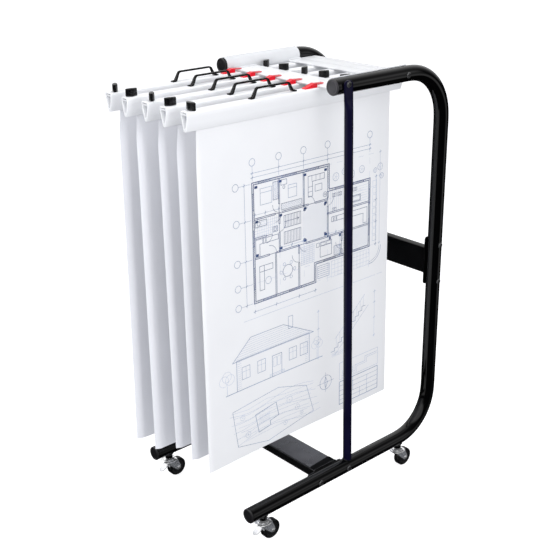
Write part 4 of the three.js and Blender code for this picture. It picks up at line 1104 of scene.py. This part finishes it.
        # plot outline with contour lines
        d.line([(70, 690), (214, 676), (306, 704), (330, 786), (180, 812), (84, 790), (70, 690)], 0.5, 1)
        for k in range(5):
            d.line([(60 + 6 * k + 30 * q, 700 + 20 * k + 10 * math.sin(q * 0.7 + k * 0.6)) for q in range(10)], 0.35, 2)
        d.line([(140, 724), (206, 714), (214, 752), (186, 758), (188, 770), (150, 776), (140, 724)], 0.7, 1)
        d.hatch(150, 730, 186, 756, 6, 2, 0.3)
        for u, v, r in ((100, 716, 7), (250, 724, 9), (276, 754, 7), (116, 768, 8), (236, 784, 6), (290, 776, 5)):
            d.ring(u, v, r, 0.4, 2, 14)
            d.ring(u, v, 1.2, 0.4, 2, 8)
        d.ring(372, 720, 20, 0.5, 1, 24)
        d.line([(372, 692), (372, 748)], 0.4, 1)
        d.line([(344, 720), (400, 720)], 0.4, 1)
        d.line([(372, 704), (378, 720), (372, 736), (366, 720), (372, 704)], 0.5, 1)
        # contours of the ground
        for k in range(7):
            d.line([(66 + 7 * k, 694 + 15 * k), (118, 700 + 14 * k), (176, 692 + 15 * k), (238, 702 + 13 * k), (330 - 4 * k, 706 + 13 * k)], 0.3, 2)
        # empty title block
        d.rect(420, 737, 560, 804, 0.8, 1)
        for v in (750, 764, 778, 791):
            d.line([(420, v), (560, v)], 0.4, 1)
        for u, v0, v1 in ((468, 737, 778), (520, 750, 804), (494, 778, 804)):
            d.line([(u, v0), (u, v1)], 0.4, 1)
        # a small detail inside its frame
        d.rect(420, 682, 560, 731, 0.5, 2)
        d.line([(428, 722), (476, 722), (476, 706), (512, 706), (512, 692), (556, 692)], 0.6, 2)
        d.line([(428, 727), (482, 727), (482, 711), (518, 711), (518, 697), (556, 697)], 0.4, 2)
        d.hatch(430, 706, 470, 720, 4, 2, 0.3)
    for pts, w, ink in d.lines:
        q = []
        for u, v in pts:
            if flip:
                u = 594 - u
            q.append((u + ou, v + ov))
        dr.lines.append((q, w, ink))


BOLD = (2.0, 1.75, 1.6)


def print_mesh(i, dr):
    b = Shells()
    for pts, w, ink in dr.lines:
        w *= BOLD[ink]
        for (ua, va), (uc, vc) in zip(pts, pts[1:]):
            L = math.hypot(uc - ua, vc - va)
            if L < 1e-6:
                continue
            near = min(ua, uc) < 70
            n = max(1, int(math.ceil(L / (9.0 if near else 55.0))))
            du, dv = (uc - ua) / L, (vc - va) / L
            e = w * 0.45
            a0, c0 = (ua - du * e, va - dv * e), (uc + du * e, vc + dv * e)
            rings = []
            for k in range(n + 1):
                t = k / n
                u, v = a0[0] + (c0[0] - a0[0]) * t, a0[1] + (c0[1] - a0[1]) * t
                nu, nv = -dv * w / 2, du * w / 2
                rings.append([on_sheet(i, u + nu, v + nv, 0.30), on_sheet(i, u - nu, v - nv, 0.30),
                              on_sheet(i, u - nu, v - nv, 0.20), on_sheet(i, u + nu, v + nv, 0.20)])
            b.rings(rings, ink)
    return b


def flat_piece(name, b, mats, body):
    me = bpy.data.meshes.new(name)
    me.from_pydata([(x * MM, y * MM, z * MM) for x, y, z in b.v], [], b.f)
    for m in mats:
        me.materials.append(m)
    me.polygons.foreach_set("material_index", b.m)
    bm = bmesh.new()
    bm.from_mesh(me)
    bmesh.ops.recalc_face_normals(bm, faces=bm.faces)
    bm.to_mesh(me)
    bm.free()
    ob = bpy.data.objects.new(name, me)
    scene.collection.objects.link(ob)
    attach(ob, body)
    return ob


PLANS = ((24, 30, True, False), (44, 60, False, False), (28, 40, True, False), (48, 54, False, False), (4, 18, False, True))
for i in range(5):
    n = i + 1
    # the four inner sheets take the paper with painted shade
    paper = piece(f"clamp_{n}_paper", sheet_mesh(i), M_PAPER if i == 4 else M_PAPER_PAINTED_SHADE, f"clamp_{n}", [f"clamp_{n}_sheet"], angle=60)
    dr = Drawing()
    plan(dr, PLANS[i][0], PLANS[i][1], PLANS[i][2], PLANS[i][3])
    ink = flat_piece(f"clamp_{n}_line_work", print_mesh(i, dr), INKS, f"clamp_{n}")

# ---------------------------------------------------------- floor, light, camera
fm = bpy.data.materials.new("floor_pale")
fm.use_nodes = True
fb = fm.node_tree.nodes["Principled BSDF"]
fb.inputs["Base Color"].default_value = (0.55, 0.55, 0.55, 1)
fb.inputs["Emission Color"].default_value = (1, 1, 1, 1)
fb.inputs["Emission Strength"].default_value = 0.78
fb.inputs["Roughness"].default_value = 0.9
fb.inputs["Specular IOR Level"].default_value = 0.1
me = bpy.data.meshes.new("floor")
S = 12.0
me.from_pydata([(-S, -S, 0), (S, -S, 0), (S, S, 0), (-S, S, 0)], [], [(0, 1, 2, 3)])
me.materials.append(fm)
floor = bpy.data.objects.new("floor", me)
scene.collection.objects.link(floor)
floor.visible_glossy = False
floor.visible_diffuse = False

world = bpy.data.worlds.new("studio")
scene.world = world
world.use_nodes = True
nt = world.node_tree
nt.nodes.clear()
out = nt.nodes.new("ShaderNodeOutputWorld")
bg = nt.nodes.new("ShaderNodeBackground")
bg.inputs["Color"].default_value = (1.0, 1.0, 1.0, 1)
bg.inputs["Strength"].default_value = 1.05
amb = nt.nodes.new("ShaderNodeBackground")
amb.inputs["Color"].default_value = (0.92, 0.94, 1.0, 1)
amb.inputs["Strength"].default_value = 0.62
dim = nt.nodes.new("ShaderNodeBackground")
dim.inputs["Color"].default_value = (1.0, 1.0, 1.0, 1)
way = nt.nodes.new("ShaderNodeTexCoord")
axes = nt.nodes.new("ShaderNodeSeparateXYZ")
nt.links.new(way.outputs["Generated"], axes.inputs["Vector"])


def band(axis, stops):
    """Brightness of the surroundings by direction, from pairs of direction component and value."""
    mr = nt.nodes.new("ShaderNodeMapRange")
    mr.inputs["From Min"].default_value = -1.0
    mr.inputs["From Max"].default_value = 1.0
    nt.links.new(axes.outputs[axis], mr.inputs["Value"])
    cr = nt.nodes.new("ShaderNodeValToRGB")
    el = cr.color_ramp.elements
    while len(el) < len(stops):
        el.new(0.5)
    for e, (d, v) in zip(el, stops):
        e.position = (d + 1) / 2
        e.color = (v, v, v, 1)
    nt.links.new(mr.outputs["Result"], cr.inputs["Fac"])
    return cr.outputs["Color"]


def math_node(kind, a, b):
    m = nt.nodes.new("ShaderNodeMath")
    m.operation = kind
    nt.links.new(a, m.inputs[0])
    nt.links.new(b, m.inputs[1])
    return m.outputs["Value"]


def patch(*bands):
    """A lit patch of the surroundings: the product of its bands."""
    v = band(*bands[0])
    for q in bands[1:]:
        v = math_node("MULTIPLY", v, band(*q))
    return v


room = band("Z", ((-1.0, 0.012), (-0.1, 0.010), (0.0, 0.015), (0.3, 0.03), (1.0, 0.05)))
overhead = patch(("X", ((-1.0, 1.0), (-0.3, 1.0), (0.0, 0.62), (0.25, 0.22), (0.5, 0.02), (1.0, 0.0))),
                 ("Z", ((-1.0, 0.0), (0.0, 0.0), (0.08, 0.7), (0.3, 1.0), (1.0, 1.0))))
front_line = patch(("Y", ((-1.0, 1.0), (-0.87, 1.0), (-0.82, 0.0), (1.0, 0.0))),
                   ("X", ((-1.0, 1.0), (0.12, 1.0), (0.22, 0.0), (1.0, 0.0))),
                   ("Z", ((-1.0, 0.0), (-0.7, 0.0), (-0.5, 1.0), (-0.2, 1.0), (-0.1, 0.0), (1.0, 0.0))))
back_line = patch(("Y", ((-1.0, 0.0), (0.40, 0.0), (0.52, 1.0), (0.74, 1.0), (0.82, 0.0), (1.0, 0.0))),
                  ("X", ((-1.0, 0.0), (0.2, 0.0), (0.45, 1.0), (1.0, 1.0))),
                  ("Z", ((-1.0, 0.0), (-0.47, 0.0), (-0.38, 0.5), (-0.24, 0.55), (-0.1, 0.26), (0.0, 0.26), (0.1, 0.45), (0.2, 0.65),
                         (0.3, 0.65), (0.42, 0.25), (0.55, 0.04), (0.65, 0.0), (1.0, 0.0))))
soft_front = patch(("Y", ((-1.0, 1.0), (-0.25, 1.0), (-0.05, 0.0), (1.0, 0.0))), ("Z", ((-1.0, 0.0), (0.2, 0.0), (0.35, 1.0), (1.0, 1.0))))
total = math_node("ADD", math_node("ADD", math_node("ADD", room, overhead), math_node("ADD", front_line, back_line)), soft_front)
nt.links.new(total, dim.inputs["Strength"])
lp = nt.nodes.new("ShaderNodeLightPath")
mixg = nt.nodes.new("ShaderNodeMixShader")
nt.links.new(lp.outputs["Is Glossy Ray"], mixg.inputs["Fac"])
nt.links.new(amb.outputs["Background"], mixg.inputs[1])
nt.links.new(dim.outputs["Background"], mixg.inputs[2])
mixw = nt.nodes.new("ShaderNodeMixShader")
nt.links.new(lp.outputs["Is Camera Ray"], mixw.inputs["Fac"])
nt.links.new(mixg.outputs["Shader"], mixw.inputs[1])
nt.links.new(bg.outputs["Background"], mixw.inputs[2])
nt.links.new(mixw.outputs["Shader"], out.inputs["Surface"])


def area(name, loc, target, size, power, color=(1, 1, 1), size_y=None):
    li = bpy.data.lights.new(name, "AREA")
    li.energy = power
    li.color = color
    li.shape = "RECTANGLE"
    li.size = size
    li.size_y = size_y or size
    ob = bpy.data.objects.new(name, li)
    scene.collection.objects.link(ob)
    ob.location = loc
    ob.rotation_euler = (Vector(target) - Vector(loc)).to_track_quat("-Z", "Y").to_euler()
    ob.visible_glossy = False
    return ob


area("key_right", (4.3, -0.7, 1.75), (0, 0, 0.6), 1.35, 47)
area("right_high", (3.0, -0.9, 3.4), (0, 0, 0.8), 1.8, 19)
area("front_right", (1.45, -3.0, 1.7), (0, 0, 0.6), 1.2, 40)
area("front_left", (-1.9, -3.0, 2.4), (0, 0, 0.6), 1.0, 10)
area("left_fill", (-4.2, -0.6, 1.7), (0, 0, 0.6), 1.6, 34)
area("top", (0.3, 0.2, 3.4), (0, 0, 0.6), 1.6, 30)

cam_data = bpy.data.cameras.new("camera")
cam = bpy.data.objects.new("camera", cam_data)
scene.collection.objects.link(cam)
scene.camera = cam
cam_data.sensor_fit = "HORIZONTAL"
cam_data.sensor_width = 36.0
cam_data.lens = 64.39
cam_data.shift_x = -0.0244
cam_data.shift_y = 0.0092
cam_data.clip_end = 100
az, el, roll = math.radians(47.466), math.radians(22.192), math.radians(-0.301)
back = Vector((math.sin(az) * math.cos(el), -math.cos(az) * math.cos(el), math.sin(el)))
right = (-back).cross(Vector((0, 0, 1))).normalized()
up = right.cross(-back).normalized()
r2 = right * math.cos(roll) + up * math.sin(roll)
u2 = -right * math.sin(roll) + up * math.cos(roll)
rot = Matrix((r2, u2, back)).transposed().to_4x4()
rot.translation = Vector((1.7409, -1.5593, 1.4998))
cam.matrix_world = rot

scene.view_settings.view_transform = "Standard"
scene.view_settings.look = "None"
scene.view_settings.exposure = 0.0
scene.view_settings.gamma = 1.0
